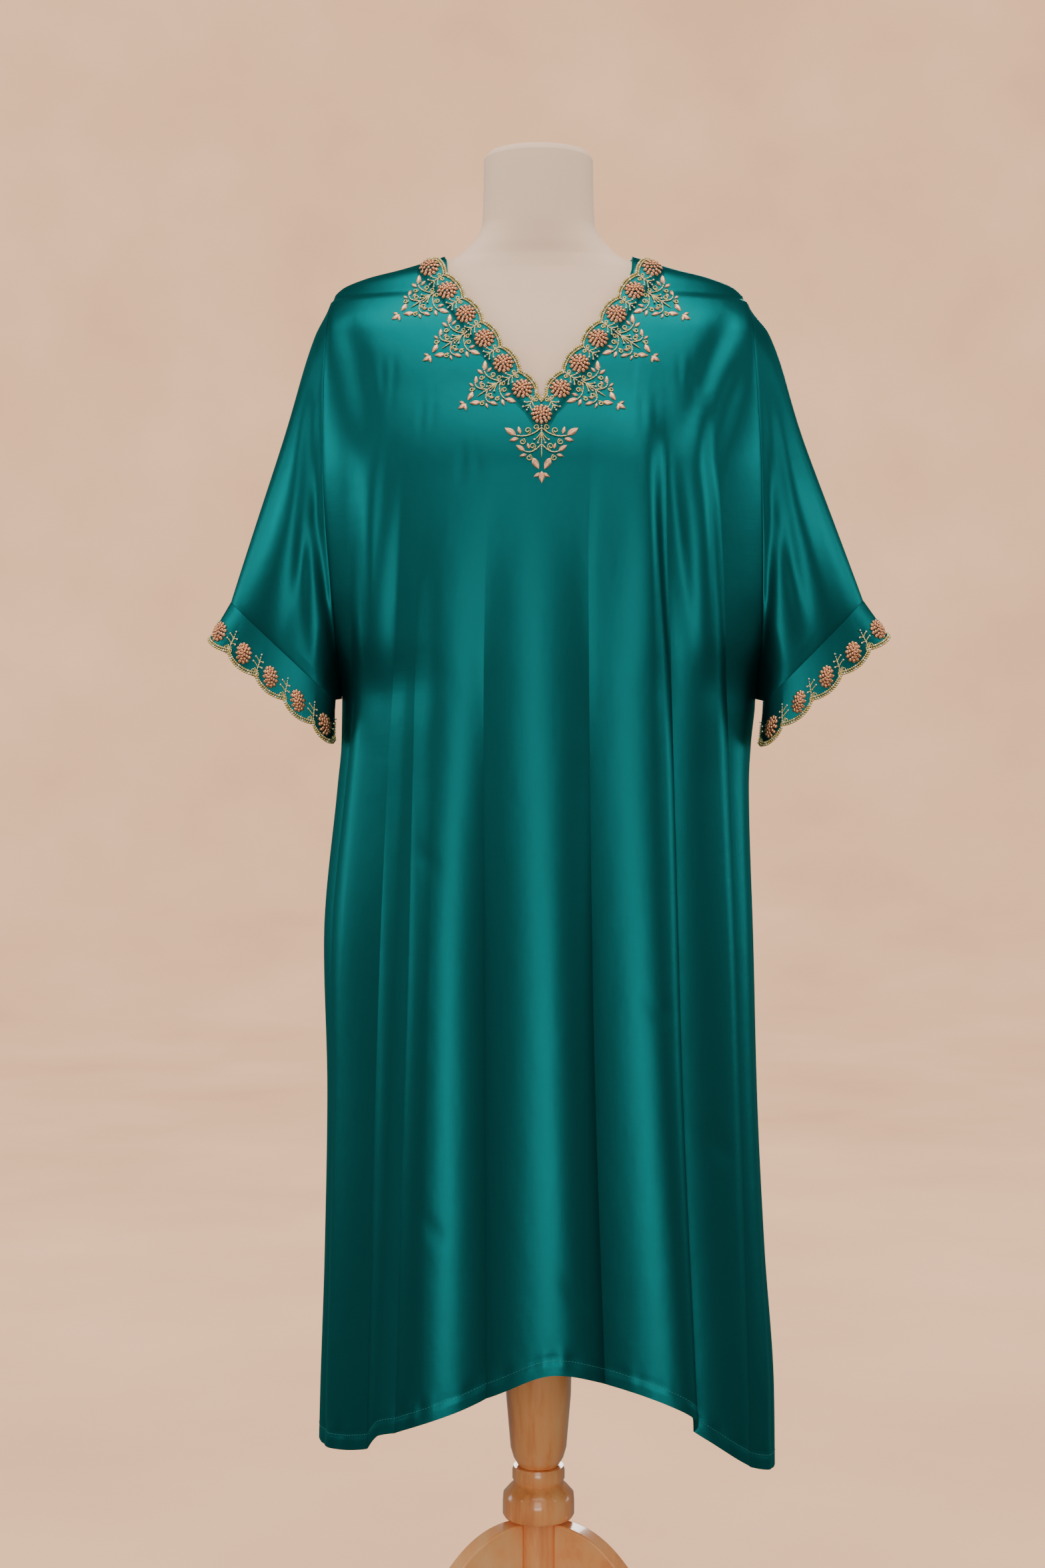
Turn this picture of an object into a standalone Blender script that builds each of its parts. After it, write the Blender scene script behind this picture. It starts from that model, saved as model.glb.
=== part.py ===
"""A calf-length kaftan that rests on a limbless dress form with a turned pole and three legs.

The kaftan is an open, hollow garment: a front and a back panel, two wide folded sleeves, two scalloped
cuff bands and a scalloped neck edging with raised rosettes. Each is a thin wall of its own.
X runs to the viewer's right, Y to the back and Z up. Left and right are as seen from the front.
All tables are measured from the pole's axis on the floor; the last step moves the whole object so that
the middle of its box stands on the origin.
"""

import math
from collections import namedtuple

import bmesh
import bpy
import numpy as np

# Walls and seams, in metres
CLOTH = 0.0015
EDGING = 0.0012
SEAM = 0.0003
EDGING_LIFT = 0.0014

# How finely the cloth is divided
TOP_ROWS = 8
TOP_BAND = 0.13
ARMHOLE_ROWS = 4
SKIRT_ROWS = 7
FLANK_SHARES = (0.0, 0.38, 0.72)
# Beside the neck points the columns stand closer, so that the neck's turn is round
NECK_SHARES = {
    "left ridge": (0.0, 0.03, 0.065, 0.12, 0.30, 0.55, 0.80),
    "right pleat": (0.0, 0.165, 0.33, 0.64, 0.753, 0.865, 0.946, 0.970, 0.987),
    "back left ridge": (0.0, 0.05, 0.16, 0.38, 0.62, 0.84),
    "back right pleat": (0.0, 0.16, 0.38, 0.62, 0.84, 0.95),
}
SLEEVE_ROWS = 8
CUFF_COLUMNS = 40
CUFF_ROWS = 4
EDGING_COLUMNS = 58
EDGING_ROWS = 4
FORM_SIDES = 24
TURNED_SIDES = 20

# The kaftan's plain body at each height: half width on the left and right, depth of the front and
# back middle, where the armhole's edges lie, and how sharply the section turns at its sides
BODY = (
    ("height", "left", "right", "front", "back", "front_edge", "back_edge", "turn"),
    (1.485, 0.0930, 0.0930, -0.0485, 0.0565, 0.000, 0.000, 2.0),
    (1.471, 0.1420, 0.1420, -0.0490, 0.0565, 0.000, 0.000, 2.0),
    (1.462, 0.1770, 0.1770, -0.0520, 0.0590, 0.000, 0.000, 2.0),
    (1.453, 0.1975, 0.1975, -0.0550, 0.0620, 0.000, 0.000, 2.0),
    (1.444, 0.2050, 0.2050, -0.0590, 0.0660, 0.000, 0.000, 2.0),
    (1.435, 0.2058, 0.2070, -0.0630, 0.0710, -0.024, 0.020, 1.9),
    (1.400, 0.2070, 0.2090, -0.0790, 0.0860, -0.056, 0.046, 1.6),
    (1.350, 0.2085, 0.2110, -0.0990, 0.0985, -0.070, 0.060, 1.35),
    (1.260, 0.2080, 0.2145, -0.1265, 0.1030, -0.082, 0.068, 1.2),
    (1.150, 0.2016, 0.2165, -0.1295, 0.1040, -0.074, 0.062, 1.2),
    (1.099, 0.1980, 0.2170, -0.1290, 0.1035, -0.056, 0.048, 1.4),
    (1.045, 0.1965, 0.2165, -0.1280, 0.1030, 0.000, 0.000, 2.0),
    (1.000, 0.1970, 0.2120, -0.1275, 0.1030, 0.000, 0.000, 2.1),
    (0.960, 0.2007, 0.2100, -0.1270, 0.1030, 0.000, 0.000, 2.1),
    (0.800, 0.2145, 0.2145, -0.1270, 0.1060, 0.000, 0.000, 2.1),
    (0.656, 0.2110, 0.2180, -0.1275, 0.1090, 0.000, 0.000, 2.1),
    (0.500, 0.2135, 0.2255, -0.1290, 0.1130, 0.000, 0.000, 2.1),
    (0.360, 0.2180, 0.2350, -0.1300, 0.1170, 0.000, 0.000, 2.1),
    (0.280, 0.2200, 0.2360, -0.1300, 0.1200, 0.000, 0.000, 2.1),
)
SECTION_ROUND = 2.3
SHOULDER_TIP = 1.444
NECK_POINT = 1.485
UNDERARM = 1.045

# Folds that run down a panel: where the crest lies across the panel at four heights, the height at
# which it starts, how far it stands out at three heights, the share of the way to the next crest at
# which the valley between them lies, how much of the lower crest fills that valley, how flat the top
# is, and how far it leans over for each metre that it stands out
Fold = namedtuple("Fold", "name top chest knee hem start out_chest out_knee out_hem valley fill power lean")
FOLD_HEIGHTS = (1.40, 1.15, 0.75, 0.36)
OUT_HEIGHTS = (1.10, 0.75, 0.36)
FOLD_FADE = 0.20
# Valleys are soft above this band of heights and sharp below it
SHARP_BELOW = 0.95
SHARP_RUN = 0.30
FRONT_FOLDS = (
    Fold("left side", -0.150, -0.158, -0.190, -0.199, 1.34, 0.009, 0.004, 0.005, 0.60, 0.9, 1.8, -0.4),
    Fold("left pleat", -0.093, -0.121, -0.136, -0.1495, 1.17, 0.006, 0.009, 0.012, 0.18, 0.9, 1.5, -0.9),
    Fold("left ridge", -0.052, -0.090, -0.099, -0.103, 1.24, 0.006, 0.018, 0.020, 0.46, 0.1, 2.0, 0.0),
    Fold("middle ridge", 0.002, -0.004, 0.008, 0.016, 1.28, 0.007, 0.016, 0.017, 0.53, 0.0, 2.0, 0.25),
    Fold("right pleat", 0.093, 0.102, 0.109, 0.130, 1.36, 0.013, 0.021, 0.027, 0.50, 0.0, 1.9, 0.8),
    Fold("right ripple", 0.142, 0.156, 0.178, 0.188, 1.38, 0.010, 0.009, 0.010, 0.55, 0.1, 2.0, 0.3),
    Fold("right side", 0.178, 0.196, 0.207, 0.219, 1.12, 0.003, 0.003, 0.004, 0.60, 0.0, 2.0, 0.0),
)
BACK_FOLDS = (
    Fold("back left side", -0.158, -0.166, -0.176, -0.184, 1.26, 0.010, 0.012, 0.013, 0.45, 0.0, 2.0, -0.4),
    Fold("back left pleat", -0.093, -0.105, -0.112, -0.120, 1.22, 0.010, 0.017, 0.021, 0.55, 0.2, 2.1, -0.8),
    Fold("back left ridge", -0.045, -0.050, -0.052, -0.056, 1.28, 0.007, 0.011, 0.014, 0.45, 0.3, 2.2, 0.2),
    Fold("back middle", 0.010, 0.014, 0.012, 0.006, 1.30, 0.009, 0.012, 0.012, 0.50, 0.1, 2.3, 0.0),
    Fold("back right pleat", 0.093, 0.084, 0.082, 0.080, 1.24, 0.010, 0.018, 0.022, 0.50, 0.0, 2.2, 0.8),
    Fold("back right side", 0.160, 0.158, 0.164, 0.172, 1.28, 0.011, 0.013, 0.014, 0.60, 0.0, 2.0, 0.5),
)
SIDE_VALLEY = 0.40
SIDE_CALM = 0.07

# The neck: the front's edge is a straight V whose last stretch turns up to the neck point
V_BOTTOM = (0.002, 1.3236)
V_RISE = 1.46
V_STRAIGHT = 0.0885
BACK_NECK_DIP = 0.017

# Hem heights across each panel, from -1 at the left side seam to 1 at the right
HEMS = (
    ("across", "front", "back"),
    (-1.00, 0.311, 0.311),
    (-0.74, 0.325, 0.346),
    (-0.60, 0.347, 0.372),
    (-0.24, 0.381, 0.420),
    (0.05, 0.408, 0.434),
    (0.28, 0.394, 0.418),
    (0.55, 0.358, 0.376),
    (0.66, 0.337, 0.352),
    (0.82, 0.306, 0.318),
    (1.00, 0.284, 0.284),
)

# Sleeves: the cuff seam's outer and inner end and the scalloped edge's outer and inner end, each
# across and up, and how far the shoulder rounds out past the armhole
Sleeve = namedtuple("Sleeve", "side sign seam_out seam_in edge_out edge_in rounding")
SLEEVES = (
    Sleeve("left", -1, (0.3025, 1.139), (0.2005, 1.043), (0.3215, 1.105), (0.2015, 1.003), 0.004),
    Sleeve("right", 1, (0.3185, 1.141), (0.2215, 1.042), (0.3415, 1.108), (0.2175, 1.000), 0.008),
)
SLEEVE_DEPTH = 0.036
CUFF_DEPTH = 0.034
CUFF_MIDDLE = -0.030
ROUNDING_PLACE = 0.16
ROUNDING_WIDTH = 0.20
OVAL_ROUND = 0.58
# Sleeve folds fan out from the shoulder: place along the layer from underarm to shoulder at the
# armhole and at the cuff, width as a share of the layer, and how far they stand out
SLEEVE_FOLDS = (
    ("armhole", "cuff", "width", "out"),
    (0.10, 0.04, 0.10, -0.006),
    (0.34, 0.27, 0.12, 0.005),
    (0.52, 0.50, 0.08, -0.005),
    (0.68, 0.70, 0.09, 0.004),
    (0.82, 0.86, 0.06, -0.003),
)
ARMHOLE_TUCK = 0.004
FULLNESS = 0.026

# Scallops and rosettes of the neck edging and the cuffs
ROSETTE = 0.0098
ROSETTE_OUT = 0.0022
ROSETTE_TOP = (-0.107, 1.4655)
ROSETTE_BOTTOM = (0.002, 1.3094)
ROSETTE_STEPS = 6
EDGING_IN = 0.009
EDGING_LOBE = 0.005
EDGING_OUT = 0.011
EDGING_END = 0.31
CUFF_LOBES = 10
CUFF_LOBE = 0.006
LOBE_ROUND = 0.7

# The dress form: half width, front and back depth, and how square its section is
FORM = (
    ("height", "half", "front", "back", "round"),
    (0.785, 0.1250, -0.0780, 0.0880, 2.3),
    (0.795, 0.1500, -0.0980, 0.1060, 2.3),
    (0.830, 0.1640, -0.1050, 0.0985, 2.3),
    (0.870, 0.1680, -0.1060, 0.0980, 2.3),
    (0.950, 0.1550, -0.0990, 0.0960, 2.3),
    (1.070, 0.1270, -0.0830, 0.0800, 2.3),
    (1.160, 0.1420, -0.1030, 0.0880, 2.3),
    (1.220, 0.1600, -0.1160, 0.0955, 2.3),
    (1.260, 0.1690, -0.1185, 0.0975, 2.3),
    (1.310, 0.1770, -0.1070, 0.0965, 2.3),
    (1.360, 0.1840, -0.0905, 0.0930, 2.3),
    (1.400, 0.1880, -0.0755, 0.0820, 2.3),
    (1.425, 0.1890, -0.0640, 0.0710, 2.3),
    (1.440, 0.1860, -0.0570, 0.0640, 2.3),
    (1.4480, 0.1800, -0.0540, 0.0605, 2.3),
    (1.4540, 0.1710, -0.0515, 0.0580, 2.3),
    (1.4675, 0.1360, -0.0470, 0.0545, 2.3),
    (1.4820, 0.0880, -0.0455, 0.0535, 2.3),
    (1.492, 0.0740, -0.0470, 0.0560, 2.2),
    (1.505, 0.0620, -0.0480, 0.0580, 2.1),
    (1.517, 0.0567, -0.0490, 0.0590, 2.0),
    (1.550, 0.0550, -0.0490, 0.0590, 2.0),
    (1.583, 0.0545, -0.0485, 0.0585, 2.0),
    (1.589, 0.0500, -0.0440, 0.0540, 2.0),
)
NECK_MIDDLE = 0.005

# The turned pole and its collar: radius at each height, from the top down
POLE = (
    (0.0330, 0.7847),
    (0.0335, 0.4000),
    (0.0325, 0.3500),
    (0.0280, 0.2980),
    (0.0250, 0.2880),
    (0.0200, 0.2795),
)
COLLAR = (
    (0.0250, 0.2792),
    (0.0262, 0.2750),
    (0.0262, 0.2670),
    (0.0240, 0.2635),
    (0.0290, 0.2590),
    (0.0352, 0.2520),
    (0.0358, 0.2440),
    (0.0358, 0.2320),
    (0.0340, 0.2290),
)
HUB_RADIUS = 0.0225
HUB_TOP = 0.2287
HUB_BOTTOM = 0.060

# The legs: boards with a rounded shoulder, an S curve and a flat foot. Angles are from straight ahead
LEG_THICKNESS = 0.020
LEG_REACH = 0.235
LEG_TOP = 0.226
LEG_JOIN_BOTTOM = 0.072
LEG_HUB_GAP = 0.0003
FOOT_LENGTH = 0.060
FOOT_HEIGHT = 0.016
LEG_BEVEL = 0.002
LEGS = (("leg_front_left", -60.0), ("leg_front_right", 60.0), ("leg_back", 180.0))

# Colours, as linear red, green and blue
TEAL = (0.006, 0.105, 0.098)
GOLD = (0.52, 0.42, 0.18)
LINEN = (0.62, 0.47, 0.34)
HONEY = (0.55, 0.27, 0.10)


def read(table, name, at):
    """The named column at a place, eased between the table's rows without swinging past them."""
    rows = np.array(sorted(table[1:]), float)
    return eased(rows[:, 0], rows[:, table[0].index(name)], at)


def eased(places, values, at):
    """A smooth line through rising places that stays between each two neighbours."""
    places = np.asarray(places, float)
    values = np.asarray(values, float)
    steps = np.diff(places)
    slopes = np.diff(values) / steps
    bends = np.zeros(len(places))
    before, after = slopes[:-1], slopes[1:]
    agree = before * after > 0
    bends[1:-1][agree] = 2 * before[agree] * after[agree] / (before[agree] + after[agree])
    bends[0], bends[-1] = slopes[0], slopes[-1]
    at = np.clip(at, places[0], places[-1])
    k = np.clip(np.searchsorted(places, at, side="right") - 1, 0, len(steps) - 1)
    t = (at - places[k]) / steps[k]
    start = (2 * t**3 - 3 * t**2 + 1) * values[k] + (t**3 - 2 * t**2 + t) * steps[k] * bends[k]
    end = (3 * t**2 - 2 * t**3) * values[k + 1] + (t**3 - t**2) * steps[k] * bends[k + 1]
    return start + end


def soft_step(t):
    """0 below 0, 1 above 1, and a smooth rise between."""
    t = np.clip(t, 0.0, 1.0)
    return t * t * (3 - 2 * t)


def unit(vectors):
    """The vectors at length 1."""
    return vectors / np.maximum(np.linalg.norm(vectors, axis=-1, keepdims=True), 1e-12)


def half_width(x, height):
    """The plain body's half width on the side that x is on."""
    return np.where(np.asarray(x) < 0, read(BODY, "left", height), read(BODY, "right", height))


def fold_out(fold, height):
    """How far a fold's crest stands out at a height."""
    levels = OUT_HEIGHTS[::-1]
    outs = (fold.out_hem, fold.out_knee, fold.out_chest)
    return eased(levels, outs, height) * soft_step((fold.start - height) / FOLD_FADE)


def fold_place(fold, height):
    """Where a fold's crest lies on the plain section, before it leans over."""
    levels = FOLD_HEIGHTS[::-1]
    shown = eased(levels, (fold.hem, fold.knee, fold.chest, fold.top), height)
    return shown - fold.lean * fold_out(fold, height)


def folds_of(panel):
    return FRONT_FOLDS if panel == "front" else BACK_FOLDS


def valley_shares(panel):
    """Where each valley lies between the two crests, or the seam and the crest, on its sides."""
    return [SIDE_VALLEY] + [fold.valley for fold in folds_of(panel)]


def fold_lines(panel, height):
    """Places on the plain section of the seams and crests, and of the valleys between them."""
    crests = [-read(BODY, "left", height)]
    crests += [fold_place(fold, height) for fold in folds_of(panel)]
    crests += [read(BODY, "right", height)]
    sides = zip(valley_shares(panel), crests[:-1], crests[1:])
    return crests, [left + share * (right - left) for share, left, right in sides]


def fold_outs(panel, height):
    """How far the seams and crests stand out, from left to right."""
    outs = [fold_out(fold, height) for fold in folds_of(panel)]
    return [0 * outs[0], *outs, 0 * outs[0]]


def valley_levels(panel, outs):
    """How far the valleys between them stand out."""
    fills = [0.0] + [fold.fill for fold in folds_of(panel)]
    return [fill * np.minimum(left, right) for fill, left, right in zip(fills, outs[:-1], outs[1:])]


def plain_depth(panel, across, height):
    """Y of the plain section at a share across it."""
    edge = read(BODY, panel + "_edge", height)
    middle = read(BODY, panel, height)
    curve = (1 - np.abs(across) ** SECTION_ROUND) ** (1 / read(BODY, "turn", height))
    return edge + (middle - edge) * curve


def cloth_points(panel, x, height):
    """Points on a panel's outer face, from x on the plain section and the height."""
    half = half_width(x, height)
    across = np.clip(x / half, -1, 1)
    y = plain_depth(panel, across, height)
    step = 0.01
    low = np.clip(across - step, -1, 1)
    high = np.clip(across + step, -1, 1)
    run = unit(
        np.stack(
            [half * (high - low), plain_depth(panel, high, height) - plain_depth(panel, low, height)],
            axis=-1,
        )
    )
    facing = -1 if panel == "front" else 1
    outward = np.stack([-facing * run[..., 1], facing * run[..., 0]], axis=-1)
    calm = soft_step((1 - np.abs(across)) / SIDE_CALM)
    shift = np.zeros(run.shape)
    crests, valleys = fold_lines(panel, height)
    outs = fold_outs(panel, height)
    levels = valley_levels(panel, outs)
    soft = 1 + soft_step((height - SHARP_BELOW) / SHARP_RUN)
    for k, fold in enumerate(folds_of(panel)):
        away = x - crests[k + 1]
        width = np.where(away > 0, valleys[k + 1] - crests[k + 1], crests[k + 1] - valleys[k])
        level = np.where(away > 0, levels[k + 1], levels[k])
        rise = np.clip(1 - np.abs(away / width) ** fold.power, 0, None) ** soft
        inside = calm * ((x >= valleys[k]) & (x < valleys[k + 1]))
        out = inside * (level + (outs[k + 1] - level) * rise)
        lean = inside * fold.lean * outs[k + 1] * rise
        shift += out[..., None] * outward + lean[..., None] * run
    return np.stack([across * half + shift[..., 0], y + shift[..., 1], height + 0 * y], axis=-1)


def column_shares(panel):
    """Each column of a panel as the gap between two crests that it lies in, and its share of that gap."""
    names = [fold.name for fold in folds_of(panel)] + ["seam"]
    found = []
    for gap, (name, valley) in enumerate(zip(names, valley_shares(panel))):
        flanks = [share * valley for share in FLANK_SHARES]
        flanks += [valley + share * (1 - valley) for share in FLANK_SHARES]
        shares = sorted({valley, *NECK_SHARES[name]}) if name in NECK_SHARES else flanks
        found += [(gap, share) for share in shares]
    return found + [(len(names) - 1, 1.0)]


def columns(panel, height):
    """x of every column of a panel on the plain section, one height for each column."""
    crests, _ = fold_lines(panel, np.minimum(height, SHOULDER_TIP))
    shares = column_shares(panel)
    x = [(1 - share) * crests[gap][j] + share * crests[gap + 1][j] for j, (gap, share) in enumerate(shares)]
    return np.array(x)


def shoulder_height(x):
    """Height of the shoulder seam, from the same table as the body's width."""
    heights = np.linspace(SHOULDER_TIP, NECK_POINT, 200)
    halves = read(BODY, "left", heights)
    return np.interp(np.abs(x), halves[::-1], heights[::-1])


def top_edge(panel, x):
    """Height of a panel's upper edge: the shoulder seam, then the neck."""
    neck = BODY[1][1]
    if panel == "front":
        line = V_BOTTOM[1] + V_RISE * np.abs(x - V_BOTTOM[0])
        turned = V_BOTTOM[1] + V_RISE * V_STRAIGHT
        climb = soft_step((np.abs(x) - V_STRAIGHT) / (neck - V_STRAIGHT))
        edge = np.minimum(line, turned) + climb * (NECK_POINT - turned)
    else:
        edge = NECK_POINT - BACK_NECK_DIP * (1 - (x / neck) ** 2)
    return np.where(np.abs(x) >= neck, shoulder_height(x), edge)


def panel_heights(panel):
    """Heights of every row and column: fine over the shoulder, then even to the underarm and hem."""
    count = len(column_shares(panel))
    top = np.full(count, FOLD_HEIGHTS[0])
    for _ in range(6):
        top = top_edge(panel, columns(panel, top))
    top[0] = top[-1] = SHOULDER_TIP
    drops = TOP_BAND * (np.arange(TOP_ROWS + 1) / TOP_ROWS) ** 2.2
    upper = top[None, :] - drops[:, None]
    shares = np.arange(1, ARMHOLE_ROWS + 1)[:, None] / ARMHOLE_ROWS
    middle = upper[-1] + shares * (UNDERARM - upper[-1])
    x = columns(panel, np.full(count, FOLD_HEIGHTS[-1]))
    hem = read(HEMS, panel, x / half_width(x, FOLD_HEIGHTS[-1]))
    shares = np.arange(1, SKIRT_ROWS + 1)[:, None] / SKIRT_ROWS
    lower = UNDERARM + shares * (hem - UNDERARM)
    return np.concatenate([upper, middle, lower])


def grid_normals(grid, around=False):
    """Normals of a grid of points, rows by columns. around says that the columns close on themselves."""
    if around:
        along = np.roll(grid, -1, axis=1) - np.roll(grid, 1, axis=1)
    else:
        along = np.gradient(grid, axis=1)
    down = np.gradient(grid, axis=0)
    return unit(np.cross(along, down))


def wall(name, outer, normals, thickness, around=False):
    """A closed thin wall: the outer grid, the same grid moved inwards, and strips round the edges."""
    rows, cols = outer.shape[:2]
    inner = outer - thickness * normals
    verts = np.concatenate([outer.reshape(-1, 3), inner.reshape(-1, 3)])
    layer = rows * cols
    spans = cols if around else cols - 1
    faces = []
    for i in range(rows - 1):
        for j in range(spans):
            a = i * cols + j
            b = i * cols + (j + 1) % cols
            c = a + cols
            d = b + cols
            faces += [(a, c, b), (b, c, d)]
            faces += [(a + layer, b + layer, c + layer), (b + layer, d + layer, c + layer)]
    for j in range(spans):
        a, b = j, (j + 1) % cols
        faces += [(a, b, b + layer), (a, b + layer, a + layer)]
        c, d = a + (rows - 1) * cols, b + (rows - 1) * cols
        faces += [(d, c, c + layer), (d, c + layer, d + layer)]
    if not around:
        for i in range(rows - 1):
            a, b = i * cols, (i + 1) * cols
            faces += [(b, a, a + layer), (b, a + layer, b + layer)]
            c, d = a + cols - 1, b + cols - 1
            faces += [(c, d, d + layer), (c, d + layer, c + layer)]
    return add_mesh(name, verts, faces)


def add_mesh(name, verts, faces):
    """An object from points and faces, its faces turned outwards."""
    mesh = bpy.data.meshes.new(name)
    mesh.from_pydata([tuple(point) for point in verts], [], [tuple(face) for face in faces])
    work = bmesh.new()
    work.from_mesh(mesh)
    if work.calc_volume(signed=True) < 0:
        bmesh.ops.reverse_faces(work, faces=work.faces)
    work.to_mesh(mesh)
    work.free()
    mesh.shade_smooth()
    mesh.set_sharp_from_angle(angle=math.radians(50))
    obj = bpy.data.objects.new(name, mesh)
    bpy.context.scene.collection.objects.link(obj)
    return obj


def without(vectors, axis):
    """The vectors with their part along an axis taken out."""
    axis = np.asarray(axis, float)
    return unit(vectors - (vectors @ axis)[..., None] * axis)


def panel_grid(panel):
    """Outer points and normals of the front or back panel, with its seam edges set half a seam back."""
    heights = panel_heights(panel)
    x = np.array([columns(panel, row) for row in heights])
    grid = cloth_points(panel, x, heights)
    facing = -1 if panel == "front" else 1
    seam_y = facing * SEAM / 2
    neck = BODY[1][1]
    shoulder = np.abs(x[0]) >= neck - 1e-6
    grid[0, shoulder, 1] = seam_y
    underarm = TOP_ROWS + ARMHOLE_ROWS
    for j, sign in ((0, -1), (-1, 1)):
        armhole = slice(0, underarm + 1)
        grid[armhole, j, 0] = sign * (half_width(sign, heights[armhole, j]) - SEAM / 2)
        grid[armhole, j, 1] = read(BODY, panel + "_edge", heights[armhole, j])
        grid[underarm:, j, 1] = seam_y
        grid[0, j, 1] = seam_y
    normals = grid_normals(grid)
    if panel == "front":
        normals = -normals
    normals[0, shoulder] = without(normals[0, shoulder], (0, 1, 0))
    for j, sign in ((0, -1), (-1, 1)):
        normals[1:underarm, j] = without(normals[1:underarm, j], (1, 0, 0))
        normals[underarm:, j] = without(normals[underarm:, j], (0, 1, 0))
        normals[0, j] = (0, 0, 1)
        normals[underarm, j] = unit(np.array([sign, 0.0, -1.0]))
    return grid, normals, heights


def build_panel(panel):
    grid, normals, _ = panel_grid(panel)
    return wall(panel + "_panel", grid, normals, CLOTH)


def oval(share):
    """A point on a flat oval at a share of its length from its inner end, the front layer first.

    Gives how far along the oval (0 inner end, 1 outer end) and how deep (-1 front, 1 back)."""
    angle = np.linspace(0, 2 * np.pi, 721)
    along = 0.5 - 0.5 * np.cos(angle)
    depth = -np.sign(np.sin(angle)) * np.abs(np.sin(angle)) ** OVAL_ROUND
    length = np.hypot(np.diff(along), np.diff(depth) * 0.16)
    shares = np.concatenate([[0], np.cumsum(length)]) / length.sum()
    share = np.mod(share, 1.0)
    return np.interp(share, shares, along), np.interp(share, shares, depth)


def armhole_ring(sign):
    """The armhole's edge, from the underarm up the front to the shoulder and down the back."""
    underarm = TOP_ROWS + ARMHOLE_ROWS
    j = 0 if sign < 0 else -1
    levels = panel_heights("front")[: underarm + 1, j]
    x = sign * (half_width(sign, levels) + SEAM / 2)
    front = np.stack([x, read(BODY, "front_edge", levels), levels], axis=-1)
    back = np.stack([x, read(BODY, "back_edge", levels), levels], axis=-1)
    return np.concatenate([front[::-1], back[1:-1]])


def cross_ring(start, end, sign, depth, share):
    """A flat oval ring between an inner and an outer end."""
    along, deep = oval(share)
    x = sign * (start[0] + (end[0] - start[0]) * along)
    z = start[1] + (end[1] - start[1]) * along
    return np.stack([x, CUFF_MIDDLE + depth * deep, z], axis=-1)


def seam_plane(sleeve):
    """The direction square to the cuff seam, pointing down the sleeve."""
    across = np.array([sleeve.seam_out[0] - sleeve.seam_in[0], sleeve.seam_out[1] - sleeve.seam_in[1]])
    across = across / np.hypot(*across)
    return np.array([sleeve.sign * across[1], 0.0, -across[0]])


def sleeve_grid(sleeve):
    """Outer points of a sleeve: rows from the armhole to the cuff seam, columns round it."""
    start = armhole_ring(sleeve.sign)
    lengths = np.linalg.norm(np.roll(start, -1, axis=0) - start, axis=1)
    share = np.concatenate([[0], np.cumsum(lengths)[:-1]]) / lengths.sum()
    end = cross_ring(sleeve.seam_in, sleeve.seam_out, sleeve.sign, SLEEVE_DEPTH, share)
    down = np.linspace(0, 1, SLEEVE_ROWS + 1)[:, None, None]
    grid = start + (end - start) * down
    layer = 1 - np.abs(2 * share - 1)
    facing = np.where(share < 0.5, -1.0, 1.0)
    down = down[..., 0]
    swell = np.sin(np.pi * down)
    out = -ARMHOLE_TUCK * np.exp(-(((down - 0.16) / 0.14) ** 2)) * np.sin(np.pi * layer) ** 0.5
    for armhole, cuff, width, rise in SLEEVE_FOLDS[1:]:
        centre = armhole + (cuff - armhole) * down
        out = out + rise * swell * np.exp(-(((layer - centre) / width) ** 2))
    out = out * np.sin(np.pi * np.clip(layer, 0, 1) * 0.98 + 0.01) ** 0.5
    out = out + FULLNESS * swell**0.8 * layer**2 * (1 - layer**10)
    grid[..., 1] += out * facing
    rounding = sleeve.rounding * np.exp(-(((down - ROUNDING_PLACE) / ROUNDING_WIDTH) ** 2))
    rounding = rounding * soft_step(down / 0.12)
    top = soft_step((layer - 0.72) / 0.28)
    grid[..., 0] += sleeve.sign * rounding * top
    grid[..., 2] += 0.5 * rounding * top
    return grid


def build_sleeve(sleeve):
    grid = sleeve_grid(sleeve)
    normals = grid_normals(grid, around=True)
    middle = grid.mean(axis=1, keepdims=True)
    if np.sum(normals * (grid - middle)) < 0:
        normals = -normals
    normals[0] = without(normals[0], (1, 0, 0))
    normals[-1] = without(normals[-1], seam_plane(sleeve))
    return wall("sleeve_" + sleeve.side, grid, normals, CLOTH, around=True)


def dome(distance):
    """A rosette's raised form: a low rim round a small centre."""
    rim = soft_step((ROSETTE - distance) / (0.35 * ROSETTE))
    return ROSETTE_OUT * rim * (0.8 + 0.2 * np.cos(2 * np.pi * distance / ROSETTE))


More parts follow.
